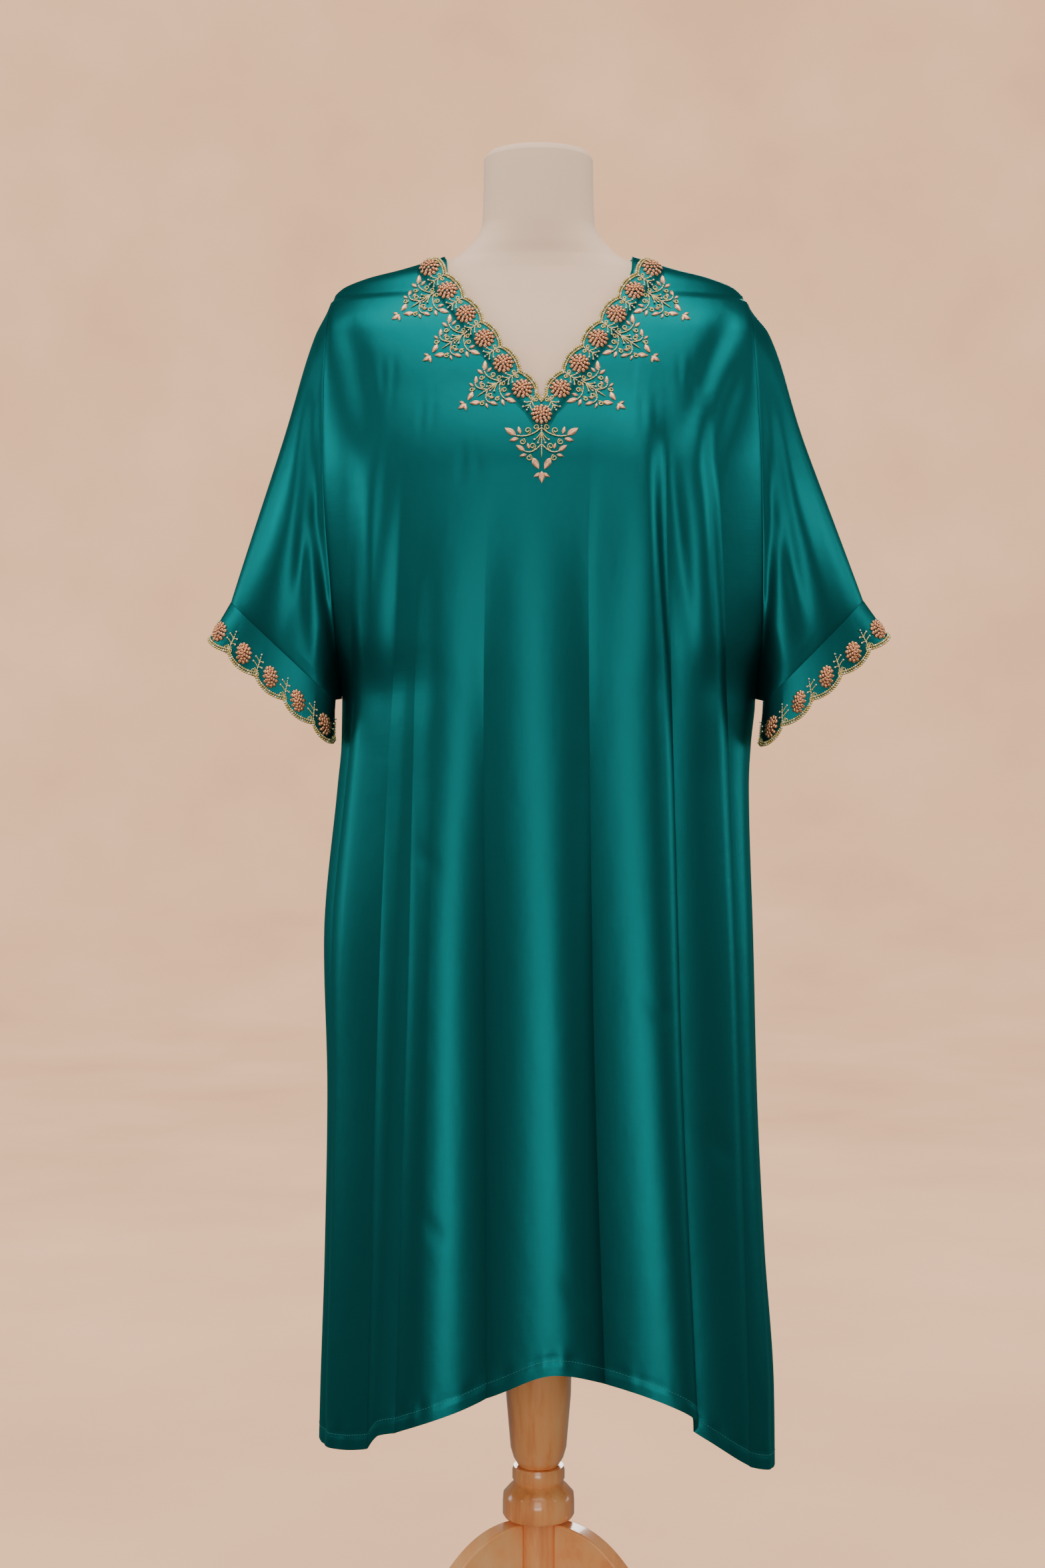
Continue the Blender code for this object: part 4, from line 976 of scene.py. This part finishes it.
def build_edging():
    """The scalloped neck band, laid on the front panel's own surface."""
    end = ROSETTE_STEPS + EDGING_END
    place = np.linspace(-end, end, EDGING_COLUMNS + 1)
    centre, way, _ = edging_frame(place)
    to_opening, to_cloth = edging_reach(place)
    shares = np.linspace(0, 1, EDGING_ROWS + 1)[:, None]
    flat = centre + way * (to_opening * (1 - shares) - to_cloth * shares)[..., None]
    point, _, _, normals = NECK_PATCH.read(flat[..., 0], flat[..., 1])
    rise = soft_step((1 - shares) / EDGING_TAPER)
    lift = BAND_EDGE + (EDGING_LIFT + BAND - BAND_EDGE) * rise + 0 * flat[..., 0]
    thickness = BAND_EDGE / 2 + (BAND - BAND_EDGE / 2) * rise + 0 * flat[..., 0]
    return wall("neck_band", point + lift[..., None] * normals, normals, thickness[..., None])


class NeckPatch:
    """The front's creased cloth round the neck, read between the points of a fine grid."""

    def __init__(self):
        self.x = np.linspace(*PATCH_ACROSS)
        self.z = np.linspace(*PATCH_UP)
        x, z = np.meshgrid(self.x, self.z)
        point = creased("front", x, z)
        across = unit(np.gradient(point, axis=1))
        down = -unit(np.gradient(point, axis=0))
        normal = unit(np.cross(down, across))
        normal = np.where(normal[..., 1:2] > 0, -normal, normal)
        self.layers = (point, across, down, normal)

    def read(self, x, height):
        """Point, way across, way down and normal at places across and up."""
        i, s = self.cell(self.z, height)
        j, t = self.cell(self.x, x)
        s, t = s[..., None], t[..., None]
        found = []
        for layer in self.layers:
            low = layer[i, j] * (1 - t) + layer[i, j + 1] * t
            high = layer[i + 1, j] * (1 - t) + layer[i + 1, j + 1] * t
            found.append(low * (1 - s) + high * s)
        return found[0], unit(found[1]), unit(found[2]), unit(found[3])

    def cell(self, places, at):
        step = np.clip((at - places[0]) / (places[1] - places[0]), 0, len(places) - 1.001)
        whole = step.astype(int)
        return whole, step - whole


NECK_PATCH = NeckPatch()


def lofted(name, rings, middle):
    """A closed solid through rings, its two ends closed by fans round a middle."""
    count, sides = rings.shape[:2]
    bottom = (middle[0], middle[1], rings[0, 0, 2])
    top = (middle[0], middle[1], rings[-1, 0, 2])
    verts = [*rings.reshape(-1, 3), bottom, top]
    faces = grid_faces(count, sides, around=True, flipped=True).tolist()
    last = (count - 1) * sides
    for j in range(sides):
        nxt = (j + 1) % sides
        faces.append((len(verts) - 2, nxt, j))
        faces.append((len(verts) - 1, last + j, last + nxt))
    return add_mesh(name, verts, faces, turn=SOLID_TURN)


def build_form():
    """The limbless form, read at finer heights from the same rows as the solid."""
    angles = turns(FORM_SIDES)
    low, high = FORM[1][0], FORM[-1][0]
    kept = [row[0] for row in FORM[1:]]
    heights = np.unique(np.concatenate([np.linspace(low, high, FORM_RINGS), kept]))
    rings = []
    for height in heights:
        half, front, back, power = (float(read(FORM, name, height)) for name in FORM[0][1:])
        x = half * np.sign(np.cos(angles)) * np.abs(np.cos(angles)) ** (2 / power)
        y = np.where(np.sin(angles) < 0, -front, back) * np.sin(angles)
        rings.append(np.stack([x, y, np.full(FORM_SIDES, height)], axis=-1))
    return lofted("form_cover", np.array(rings), (0.0, NECK_MIDDLE))


def round_rings(profile, sides):
    """Circles of points from radius and height pairs."""
    angles = turns(sides)
    rings = []
    for radius, height in profile:
        rings.append(np.stack([radius * np.cos(angles), radius * np.sin(angles), 0 * angles + height], -1))
    return np.array(rings)


def build_turned(name, profile):
    """A turned wooden piece from radius and height pairs, with finer steps round it."""
    return lofted(name, round_rings(profile[::-1], TURNED_SIDES), (0.0, 0.0))


def bezier(points, count):
    """Points on a cubic curve, without its last."""
    points = np.array(points, float)
    t = (np.arange(count) / count)[:, None]
    weights = ((1 - t) ** 3, 3 * t * (1 - t) ** 2, 3 * t**2 * (1 - t), t**3)
    return sum(weight * point for weight, point in zip(weights, points))


def build_leg(name, angle):
    """One board leg with finer curves and rounded edges."""
    inner = HUB_RADIUS + LEG_HUB_GAP
    heel = LEG_REACH - FOOT_LENGTH
    toe = LEG_REACH - 0.02
    join = (inner, LEG_JOIN_BOTTOM)
    upper, tip, lower = LEG_POINTS
    outline = np.concatenate(
        [
            bezier([(inner, LEG_TOP), (0.110, LEG_TOP), (0.128, 0.120), (toe, 0.034)], upper),
            bezier([(toe, 0.034), (LEG_REACH, 0.026), (LEG_REACH, 0.010), (LEG_REACH, 0)], tip),
            [(LEG_REACH, 0.0), (heel, 0.0)],
            bezier([(heel, 0.0), (heel - 0.02, FOOT_HEIGHT), (0.105, 0.070), join], lower)[1:],
            [join],
        ]
    )
    count = len(outline)
    half = LEG_THICKNESS / 2
    turn = math.radians(angle)
    flat = [(side, -r, z) for side in (half, -half) for r, z in outline]
    verts = [
        (x * math.cos(turn) - y * math.sin(turn), x * math.sin(turn) + y * math.cos(turn), z)
        for x, y, z in flat
    ]
    faces = [tuple(range(count)), tuple(reversed(range(count, 2 * count)))]
    for j in range(count):
        nxt = (j + 1) % count
        faces.append((j, j + count, nxt + count, nxt))
    leg = add_mesh(name, verts, faces, turn=SOLID_TURN)
    bevel = leg.modifiers.new("rounded edges", "BEVEL")
    bevel.width = LEG_BEVEL
    bevel.segments = LEG_BEVEL_STEPS
    bevel.limit_method = "ANGLE"
    bevel.angle_limit = math.radians(LEG_BEVEL_TURN)
    return leg


class Surface:
    """A Principled material that is built up node by node."""

    def __init__(self, name, **sockets):
        self.material = bpy.data.materials.new(name)
        self.material.use_nodes = True
        self.tree = self.material.node_tree
        self.shader = self.tree.nodes["Principled BSDF"]
        self.shade(**sockets)
        self.place = self.tree.nodes.new("ShaderNodeTexCoord").outputs["Object"]

    def put(self, node, sockets):
        """Fills sockets by name, with a space for each underscore."""
        for name, value in sockets.items():
            self.fill(node.inputs[name.replace("_", " ")], value)

    def fill(self, socket, value):
        """Sets a socket to a value, or links another node's output to it."""
        if isinstance(value, bpy.types.NodeSocket):
            self.tree.links.new(value, socket)
        elif isinstance(value, tuple) and socket.type == "RGBA":
            socket.default_value = (*value, 1.0)[:4]
        else:
            socket.default_value = value

    def shade(self, **sockets):
        """Fills sockets of the shader itself."""
        self.put(self.shader, sockets)

    def node(self, kind, settings=(), **sockets):
        node = self.tree.nodes.new("ShaderNode" + kind)
        for name, value in dict(settings).items():
            setattr(node, name, value)
        self.put(node, sockets)
        return node

    def stretched(self, scale):
        """The object's coordinates, scaled along X, Y and Z."""
        mapping = self.node("Mapping", Vector=self.place)
        mapping.inputs["Scale"].default_value = scale
        return mapping.outputs["Vector"]

    def noise(self, scale, detail=3.0, stretch=None, roughness=0.5):
        where = self.stretched(stretch) if stretch else self.place
        node = self.node("TexNoise", Vector=where, Scale=scale, Detail=detail, Roughness=roughness)
        return node.outputs["Fac"]

    def wave(self, scale, direction, distortion=0.0, detail=1.0):
        node = self.node("TexWave", {"bands_direction": direction}, Vector=self.place, Scale=scale)
        self.put(node, {"Distortion": distortion, "Detail": detail})
        return node.outputs["Fac"]

    def ramp(self, factor, stops):
        """Colours at places from 0 to 1."""
        node = self.node("ValToRGB", Fac=factor)
        ramp = node.color_ramp
        while len(ramp.elements) < len(stops):
            ramp.elements.new(0.5)
        for element, (at, colour) in zip(ramp.elements, stops):
            element.position = at
            element.color = (*colour, 1.0)
        return node.outputs["Color"]

    def between(self, value, low, high):
        return self.node("MapRange", Value=value, To_Min=low, To_Max=high).outputs["Result"]

    def product(self, a, b):
        node = self.node("Math", {"operation": "MULTIPLY"})
        for socket, value in zip(node.inputs, (a, b)):
            self.fill(socket, value)
        return node.outputs["Value"]

    def bump(self, height, strength, distance, below=None):
        sockets = {"Height": height, "Strength": strength, "Distance": distance}
        if below is not None:
            sockets["Normal"] = below
        return self.node("Bump", **sockets).outputs["Normal"]


def satin_material(name, deep, light):
    """Woven satin: fine crosswise yarns with slubs, and a broad change of tone."""
    surface = Surface(name, Metallic=0.92, Roughness=0.42, Anisotropic=0.2, Specular_IOR_Level=0.15)
    surface.shade(Specular_Tint=(0.15, 0.75, 0.75))
    broad = surface.noise(7.0, 3.0)
    slubs = surface.noise(420.0, 2.0, stretch=(0.06, 0.06, 1.0))
    tone = surface.product(surface.between(broad, 0.75, 1.25), surface.between(slubs, 0.8, 1.2))
    surface.shade(Base_Color=surface.ramp(tone, ((0.35, deep), (0.75, light))))
    rumple = surface.noise(38.0, 3.0, stretch=(1.0, 1.0, 0.55))
    soft = surface.bump(rumple, 0.45, 0.0010)
    yarn = surface.wave(900.0, "Z", 0.6)
    woven = surface.bump(yarn, 0.10, 0.00008, soft)
    surface.shade(Normal=surface.bump(slubs, 0.22, 0.0002, woven))
    return surface.material


def metal_material(name, deep, light, roughness):
    """Worn metal thread or beads."""
    surface = Surface(name, Metallic=0.85, Roughness=roughness)
    specks = surface.noise(900.0, 2.0)
    surface.shade(Base_Color=surface.ramp(specks, ((0.3, deep), (0.7, light))))
    surface.shade(Normal=surface.bump(specks, 0.25, 0.0002))
    return surface.material


def thread_material():
    """Matt sewing thread a shade lighter than the satin."""
    surface = Surface("teal thread", Roughness=0.6)
    twist = surface.noise(1500.0, 1.0)
    deep, light = THREAD_COLOURS
    surface.shade(Base_Color=surface.ramp(twist, ((0.3, deep), (0.7, light))))
    return surface.material


def linen_material(name):
    """Plain-woven linen cover with uneven yarns."""
    surface = Surface(name, Roughness=0.88, Sheen_Weight=0.15, Specular_IOR_Level=0.3)
    across = surface.wave(700.0, "Z", 1.2)
    upward = surface.wave(700.0, "X", 1.2)
    weave = surface.product(across, upward)
    broad = surface.noise(11.0, 4.0)
    tone = surface.product(surface.between(broad, 0.85, 1.1), surface.between(weave, 0.85, 1.05))
    deep, light = LINEN_COLOURS
    surface.shade(Base_Color=surface.ramp(tone, ((0.55, deep), (1.0, light))))
    surface.shade(Normal=surface.bump(weave, 0.35, 0.0002))
    return surface.material


def wood_material(name, stretch):
    """Lacquered honey wood with grain along the stretch."""
    surface = Surface(name, Roughness=0.3, Coat_Weight=0.7, Coat_Roughness=0.08)
    grain = surface.noise(46.0, 6.0, stretch=stretch, roughness=0.62)
    pores = surface.noise(520.0, 2.0, stretch=stretch)
    deep, middle, light = WOOD_COLOURS
    surface.shade(Base_Color=surface.ramp(grain, ((0.30, deep), (0.50, middle), (0.72, light))))
    surface.shade(Normal=surface.bump(pores, 0.12, 0.0002))
    return surface.material


def finish_piece(piece, material, slot, *nodes):
    """Gives a piece its material, lets it ride on the root, and hides the nodes that it replaces. The slot is
    not used.
    """
    piece.data.materials.clear()
    piece.data.materials.append(material)
    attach(piece, "root")
    if nodes:
        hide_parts(*nodes)


class Heap:
    """Many small shapes that are joined into one mesh."""

    def __init__(self):
        self.verts = []
        self.faces = []
        self.count = 0

    def put(self, verts, faces):
        self.verts.append(verts)
        self.faces += [tuple(vert + self.count for vert in face) for face in faces]
        self.count += len(verts)

    def copies(self, shape, points, ways, sizes):
        """One copy of a shape for each point, turned by its three ways and scaled along them."""
        verts, faces = shape
        for point, three, size in zip(points, ways, sizes):
            self.put(point + (verts * size) @ three, faces)

    def cord(self, points, normals, radius):
        """A round thread along points that lie on a surface."""
        along = unit(np.gradient(points, axis=0))
        side = unit(np.cross(along, normals))
        angles = turns(CORD_SIDES)
        thick = np.full(len(points), radius)
        thick[0] = thick[-1] = CORD_END * radius
        ring = np.cos(angles)[:, None] * side[:, None, :] + np.sin(angles)[:, None] * normals[:, None, :]
        verts = (points[:, None, :] + thick[:, None, None] * ring).reshape(-1, 3)
        last = len(verts) - CORD_SIDES
        faces = [tuple(range(CORD_SIDES)), tuple(reversed(range(last, len(verts))))]
        faces += grid_faces(len(points), CORD_SIDES, around=True).tolist()
        self.put(verts, faces)

    def piece(self, name):
        return add_mesh(name, np.concatenate(self.verts), self.faces)


def ball(divisions):
    """A round bead of radius 1."""
    work = bmesh.new()
    bmesh.ops.create_icosphere(work, subdivisions=divisions, radius=1.0)
    verts = np.array([vert.co[:] for vert in work.verts])
    faces = [tuple(vert.index for vert in face.verts) for face in work.faces]
    work.free()
    return verts, faces


def leaf_shape():
    """A padded satin-stitch leaf of length 1 along its second way, with a sunk middle vein."""
    rows, cols = LEAF_GRID
    t, s = np.meshgrid(np.linspace(0, 1, rows), np.linspace(-1, 1, cols), indexing="ij")
    half = 0.5 * np.sin(np.pi * t) ** 0.75 * (1.15 - 0.45 * t)
    rise = (1 - s**2) ** 0.6 * np.sin(np.pi * t) ** 0.5
    vein = LEAF_VEIN * bell(s / LEAF_VEIN_WIDTH) * np.sin(np.pi * t) ** 0.5
    top = np.stack([half * s, t - 0.5, rise - vein], axis=-1).reshape(-1, 3)
    return top, grid_faces(rows, cols, flipped=True).tolist()


BALL = ball(2)
SMALL_BALL = ball(1)
LEAF = leaf_shape()


class NeckGround:
    """The front's neck: u runs along a line and v into the cloth, from a point of the rosettes' line."""

    def __init__(self, start, inward):
        inward = np.array(inward) / np.hypot(*inward)
        self.start = np.array(start)
        self.inward = inward
        self.sideways = np.array([-inward[1], inward[0]])

    def find(self, u, v):
        flat = self.start + u[:, None] * self.sideways + v[:, None] * self.inward
        point, _, _, normal = NECK_PATCH.read(flat[:, 0], flat[:, 1])
        return point + neck_lift(flat)[:, None] * normal

    def outside(self, point, out):
        return np.where(out[:, 1:2] > 0, -out, out)


class CuffGround:
    """A cuff: u runs round it from a share, and v up from a level over its scalloped edge."""

    def __init__(self, sleeve, share, level=0.0):
        self.sleeve, self.share, self.level = sleeve, share, level
        ring = cuff_points(sleeve, np.linspace(0, 1, RING_POINTS), np.full(RING_POINTS, RING_LEVEL))
        self.middle = ring.mean(axis=0)
        self.length = np.linalg.norm(np.diff(ring, axis=0), axis=1).sum()

    def find(self, u, v):
        share = self.share + u / self.length
        start = cuff_points(self.sleeve, share, np.zeros(len(share)))
        end = cuff_points(self.sleeve, share, np.ones(len(share)))
        depth = np.linalg.norm(end - start, axis=-1)
        return start + (end - start) * (1 - (self.level + v) / depth)[:, None]

    def outside(self, point, out):
        inwards = np.sum(out * (point - self.middle), axis=-1, keepdims=True) < 0
        return np.where(inwards, -out, out)


def on_ground(ground, u, v, lift=0.0):
    """Points lifted off a ground, and the three ways along, away and out at each."""
    u, v = np.broadcast_arrays(np.atleast_1d(u).astype(float), np.atleast_1d(v).astype(float))
    step = SURFACE_STEP
    point = ground.find(u, v)
    along = unit(ground.find(u + step, v) - ground.find(u - step, v))
    away = unit(ground.find(u, v + step) - ground.find(u, v - step))
    out = ground.outside(point, unit(np.cross(along, away)))
    away = unit(away - np.sum(away * along, axis=-1, keepdims=True) * along)
    lift = np.broadcast_to(lift, len(u))[:, None]
    return point + lift * out, np.stack([along, away, out], axis=1)


def neck_lift(flat):
    """How far the neck band's outer face stands off the cloth at places across and up."""
    x, z = np.abs(flat[:, 0] - ROSETTE_BOTTOM[0]), flat[:, 1] - ROSETTE_BOTTOM[1]
    run = np.array([ROSETTE_BOTTOM[0] - ROSETTE_TOP[0], ROSETTE_TOP[1] - ROSETTE_BOTTOM[1]])
    below = (x * run[1] - z * run[0]) / np.hypot(*run)
    fall = soft_step((EDGING_OUT + EDGING_PAST - below) / EDGING_FALL)
    return BAND_EDGE + (EDGING_LIFT + BAND - BAND_EDGE) * fall


def curl_path(u, v, radius, turn, side):
    """A small scroll that winds in from its outside."""
    t = np.linspace(0, 1, CURL_POINTS)
    angle = turn + side * 2 * np.pi * CURL_TURNS * t
    reach = radius * (1 - CURL_IN * t)
    return np.stack([u + reach * np.cos(angle), v + reach * np.sin(angle)], axis=-1)


def spray_layout():
    """A spray's leaves (place, turn, length), scrolls and threads, and beads (place, radius).

    Tiers of arms, each shorter than the one before, stand on a stem that ends in a trefoil."""
    leaves, threads, beads = [], [], []
    for side in (-1, 1):
        for level, reach, leaf in SPRAY_TIERS:
            end = (side * reach, level)
            threads.append(bent_path((0, level - 0.007), (side * reach * 0.5, level + 0.004), end))
            leaves.append((side * (reach + 0.35 * leaf), level - 0.30 * leaf, side * 125.0, leaf))
            leaves.append((side * (reach - 0.004), level - 0.0050, side * 165.0, 0.62 * leaf))
            leaves.append((side * (reach + 0.001), level + 0.0042, side * 75.0, 0.70 * leaf))
            threads.append(curl_path(side * reach * 0.52, level - 0.0045, 0.0034, 0.5 * np.pi, side))
            threads.append(curl_path(side * reach * 0.72, level + 0.0065, 0.0031, -0.5 * np.pi, -side))
            along = bent_path((0, level - 0.007), (side * reach * 0.5, level + 0.004), end, 7)[1:]
            beads += [(u, v, SMALL_BEAD) for u, v in along]
        threads.append(curl_path(side * 0.0052, 0.0125, 0.0030, 0.5 * np.pi, side))
        leaves.append((side * 0.0055, 0.0475, side * -28.0, 0.0125))
        leaves.append((side * 0.0042, 0.0585, side * 62.0, 0.0078))
        for lean in SPRAY_FAN:
            tip = (side * lean, 0.0185 + 0.0105 * np.cos(lean * 140))
            threads.append(bent_path((0, 0.0165), (side * lean * 0.4, 0.022), tip, 6))
            beads.append((*tip, END_BEAD))
    leaves.append((0.0, 0.0605, 0.0, 0.0115))
    threads.append(bent_path((0, 0.011), (0, 0.024), (0, 0.042), 10))
    beads += [(0.0, v, SMALL_BEAD) for v in np.arange(0.012, 0.036, 0.0022)]
    return leaves, threads, beads


def sprig_layout():
    """A bead sprig between two rosettes: a stem, two scrolls and a fan of stalks with round ends."""
    threads = [bent_path((0, -0.006), (0, 0.0), (0, 0.0085), 6)]
    beads = [(0.0, v, SMALL_BEAD) for v in np.arange(-0.005, 0.008, 0.0021)]
    beads.append((0.0, 0.0098, END_BEAD))
    for side in (-1, 1):
        threads.append(curl_path(side * 0.0030, -0.0028, 0.0022, 0.5 * np.pi, side))
        for out, up in SPRIG_STALKS:
            threads.append(bent_path((0, up - 0.0045), (side * out * 0.4, up - 0.0012), (side * out, up), 6))
            beads.append((side * out, up, END_BEAD))
    return [], threads, beads


def lay_motif(ground, layout, wide, long, gold, pale, pink=None):
    """Lays a motif's leaves, threads and beads on a ground, scaled both ways, into the heaps."""
    leaves, threads, beads = layout
    for u, v, turn, length in leaves:
        points, ways = on_ground(ground, wide * u, long * v)
        across, away, out = ways[0]
        c, s = math.cos(math.radians(turn)), math.sin(math.radians(turn))
        ways = [np.array([c * across - s * away, s * across + c * away, out])]
        size = (wide + long) / 2 * length
        pink.copies(LEAF, points, ways, [(LEAF_WIDTH * size, size, LEAF_RISE)])
    for path in threads:
        points, ways = on_ground(ground, wide * path[:, 0], long * path[:, 1], 0.5 * THREAD)
        gold.cord(points, ways[:, 2], THREAD)
    beads = np.array(beads)
    points, ways = on_ground(ground, wide * beads[:, 0], long * beads[:, 1], 0.7 * beads[:, 2])
    pale.copies(SMALL_BALL, points, ways, beads[:, 2])


def lay_rosette(ground, heap):
    """A domed rosette: rings of drop beads round a middle bead."""
    for radius, count, long, wide, lift, tilt in ROSETTE_RINGS:
        angles = 2 * np.pi * (np.arange(count) + 0.5 * (count % 2)) / count
        points, ways = on_ground(ground, radius * np.cos(angles), radius * np.sin(angles), lift)
        for point, (across, away, out), angle in zip(points, ways, angles):
            outwards = math.cos(angle) * across + math.sin(angle) * away
            long_way = outwards * math.cos(tilt) - out * math.sin(tilt)
            top_way = out * math.cos(tilt) + outwards * math.sin(tilt)
            three = np.array([long_way, np.cross(top_way, long_way), top_way])
            heap.copies(BALL, [point], [three], [(long, wide, 0.8 * wide)])
    points, ways = on_ground(ground, 0.0, 0.0, ROSETTE_RISE)
    heap.copies(BALL, points, ways, [ROSETTE_MIDDLE])


def even_places(points, pitch):
    """Shares of a line of points at which beads of that pitch stand evenly along it."""
    run = run_along(points)
    count = max(2, int(run[-1] / pitch))
    return np.interp(np.arange(count) * run[-1] / count, run, np.arange(len(points)) / (len(points) - 1))


def lay_bead_row(points, ways, radius, gold, pale):
    """Beads at points, every fifth one pale and a little larger."""
    shown = np.arange(len(points)) % PALE_EVERY == PALE_FIRST
    size = np.full(len(points), radius)
    gold.copies(BALL, points[~shown], ways[~shown], size[~shown])
    pale.copies(BALL, points[shown], ways[shown], PALE_SIZE * size[shown])


def neck_edge(share, inset):
    """Points on the neck band's outer face, inset from its scalloped edge, and the ways at each."""
    end = ROSETTE_STEPS + EDGING_END
    place = -end + 2 * end * share
    centre, way, _ = edging_frame(place)
    to_opening, _ = edging_reach(place)
    flat = centre + way * (to_opening - inset)[:, None]
    point, across, down, normal = NECK_PATCH.read(flat[:, 0], flat[:, 1])
    return point + (EDGING_LIFT + BAND) * normal, np.stack([across, down, normal], axis=1)


def build_neck_work():
    """The neck's beads, rosettes, sprigs and sprays, as heaps by material."""
    gold, pale, copper, pink = Heap(), Heap(), Heap(), Heap()
    for inset, radius, lift in EDGE_ROWS:
        shares = even_places(neck_edge(np.linspace(0, 1, 2000), inset)[0], BEAD_PITCH * radius)
        points, ways = neck_edge(shares, inset)
        lay_bead_row(points + lift * ways[:, 2], ways, radius, gold, pale)
    places = np.arange(-ROSETTE_STEPS, ROSETTE_STEPS + 1).astype(float)
    centres, ways, _ = edging_frame(places)
    for centre, way in zip(centres, ways):
        lay_rosette(NeckGround(centre, -way), copper)
    centres, ways, _ = edging_frame(places[:-1] + 0.5)
    for centre, way in zip(centres, ways):
        lay_motif(NeckGround(centre, -way), sprig_layout(), 1.0, 1.0, gold, pale)
    lay_motif(NeckGround(ROSETTE_BOTTOM, (0.0, -1.0)), spray_layout(), 1.0, 1.0, gold, pale, pink)
    for place in SPRAY_PLACES:
        centres, ways, _ = edging_frame(np.array([-place, place]))
        for centre, way in zip(centres, ways):
            lay_motif(NeckGround(centre, -way), spray_layout(), *SPRAY_SCALE, gold, pale, pink)
    return gold, pale, copper, pink


def build_cuff_work(sleeve):
    """A cuff's beads, rosettes and sprigs, as heaps by material."""
    gold, pale, copper = Heap(), Heap(), Heap()
    ground = CuffGround(sleeve, 0.0)
    for inset, radius, lift in EDGE_ROWS:
        line = on_ground(ground, np.linspace(0, ground.length, 2000), inset)[0]
        u = even_places(line, BEAD_PITCH * radius) * ground.length
        points, ways = on_ground(ground, u, inset, lift)
        lay_bead_row(points, ways, radius, gold, pale)
    for lobe in range(CUFF_LOBES):
        lay_rosette(CuffGround(sleeve, (lobe + 0.5) / CUFF_LOBES, CUFF_ROSETTE_LEVEL), copper)
        sprig_ground = CuffGround(sleeve, lobe / CUFF_LOBES, CUFF_SPRIG_LEVEL)
        lay_motif(sprig_ground, sprig_layout(), *CUFF_SPRIG_SCALE, gold, pale)
    return gold, pale, copper


def add_light(name, place, target, size, power, colour):
    """A rectangular soft light at a place, aimed at a target, both from the pole's axis."""
    data = bpy.data.lights.new(name, "AREA")
    data.shape = "RECTANGLE"
    data.size, data.size_y = size
    data.energy = power
    data.color = colour
    light = bpy.data.objects.new(name, data)
    light.location = np.array(place) + AXIS
    way = np.array(target) - np.array(place)
    light.rotation_euler = Vector(way).to_track_quat("-Z", "Y").to_euler()
    bpy.context.scene.collection.objects.link(light)


def build_stage():
    """A pale floor that rises into a round backdrop on every side."""
    rings = round_rings(STAGE_PROFILE, STAGE_SIDES)
    verts = [*rings.reshape(-1, 3), (0.0, 0.0, 0.0)]
    faces = [(len(verts) - 1, j, (j + 1) % STAGE_SIDES) for j in range(STAGE_SIDES)]
    faces += grid_faces(len(rings), STAGE_SIDES, around=True).tolist()
    stage = add_mesh("backdrop", verts, faces)
    surface = Surface("pale backdrop", Roughness=0.9, Specular_IOR_Level=0.1)
    mottle = surface.noise(1.6, 4.0)
    glow = surface.ramp(mottle, ((0.25, BACKDROP_DEEP), (0.75, BACKDROP_LIGHT)))
    surface.shade(Base_Color=BACKDROP_BASE, Emission_Color=glow, Emission_Strength=BACKDROP_GLOW)
    stage.data.materials.append(surface.material)
    stage.visible_diffuse = False
    stage.visible_glossy = False


def build_camera():
    """The camera, level and straight ahead."""
    data = bpy.data.cameras.new("camera")
    data.lens = CAMERA_LENS
    data.sensor_width = SENSOR_WIDTH
    camera = bpy.data.objects.new("camera", data)
    camera.location = np.array(CAMERA_PLACE) + AXIS
    camera.rotation_euler = (math.radians(90.0), 0.0, 0.0)
    bpy.context.scene.collection.objects.link(camera)
    bpy.context.scene.camera = camera


def build_lights():
    """All lights and the even light of the room."""
    for light in LIGHTS:
        add_light(*light)
    world = bpy.data.worlds.new("soft room")
    world.use_nodes = True
    background = world.node_tree.nodes["Background"]
    background.inputs["Color"].default_value = (*WORLD_COLOUR, 1.0)
    background.inputs["Strength"].default_value = WORLD_STRENGTH
    bpy.context.scene.world = world


def main():
    build_camera()
    build_lights()
    build_stage()
    satin = satin_material("teal satin", *SATIN_COLOURS)
    front, front_stitches = build_panel("front")
    back, back_stitches = build_panel("back")
    finish_piece(front, satin, "teal_satin", "front_panel")
    finish_piece(back, satin, "teal_satin", "back_panel")
    thread = thread_material()
    for stitches in (front_stitches, back_stitches):
        finish_piece(stitches, thread, "teal_satin")
    sleeves = [build_sleeve(sleeve) for sleeve in SLEEVES]
    cuffs = [build_cuff(sleeve) for sleeve in SLEEVES]
    for sleeve, piece, cuff in zip(SLEEVES, sleeves, cuffs):
        finish_piece(piece, satin, "teal_satin", "sleeve_" + sleeve.side)
        finish_piece(cuff, satin, "teal_satin", "cuff_" + sleeve.side)
    edging = build_edging()
    finish_piece(edging, satin, "teal_satin", "neck_edging")
    metals = [(work, metal_material(*metal)) for work, *metal in METALS]
    for (work, metal), heap in zip(metals, build_neck_work()):
        finish_piece(heap.piece("neck_" + work), metal, "embroidery")
    for sleeve in SLEEVES:
        for (work, metal), heap in zip(metals, build_cuff_work(sleeve)):
            finish_piece(heap.piece("cuff_" + work + "_" + sleeve.side), metal, "embroidery")
    form = build_form()
    finish_piece(form, linen_material("linen cover"), "linen_cover", "form_torso")
    upright = wood_material("turned wood", (1.0, 1.0, 0.12))
    for name, profile, node in TURNED:
        finish_piece(build_turned(name, profile), upright, "honey_wood", node)
    along = wood_material("board wood", (0.5, 0.12, 0.35))
    for name, angle in LEGS:
        finish_piece(build_leg(name.replace("leg", "board"), angle), along, "honey_wood", name)


main()
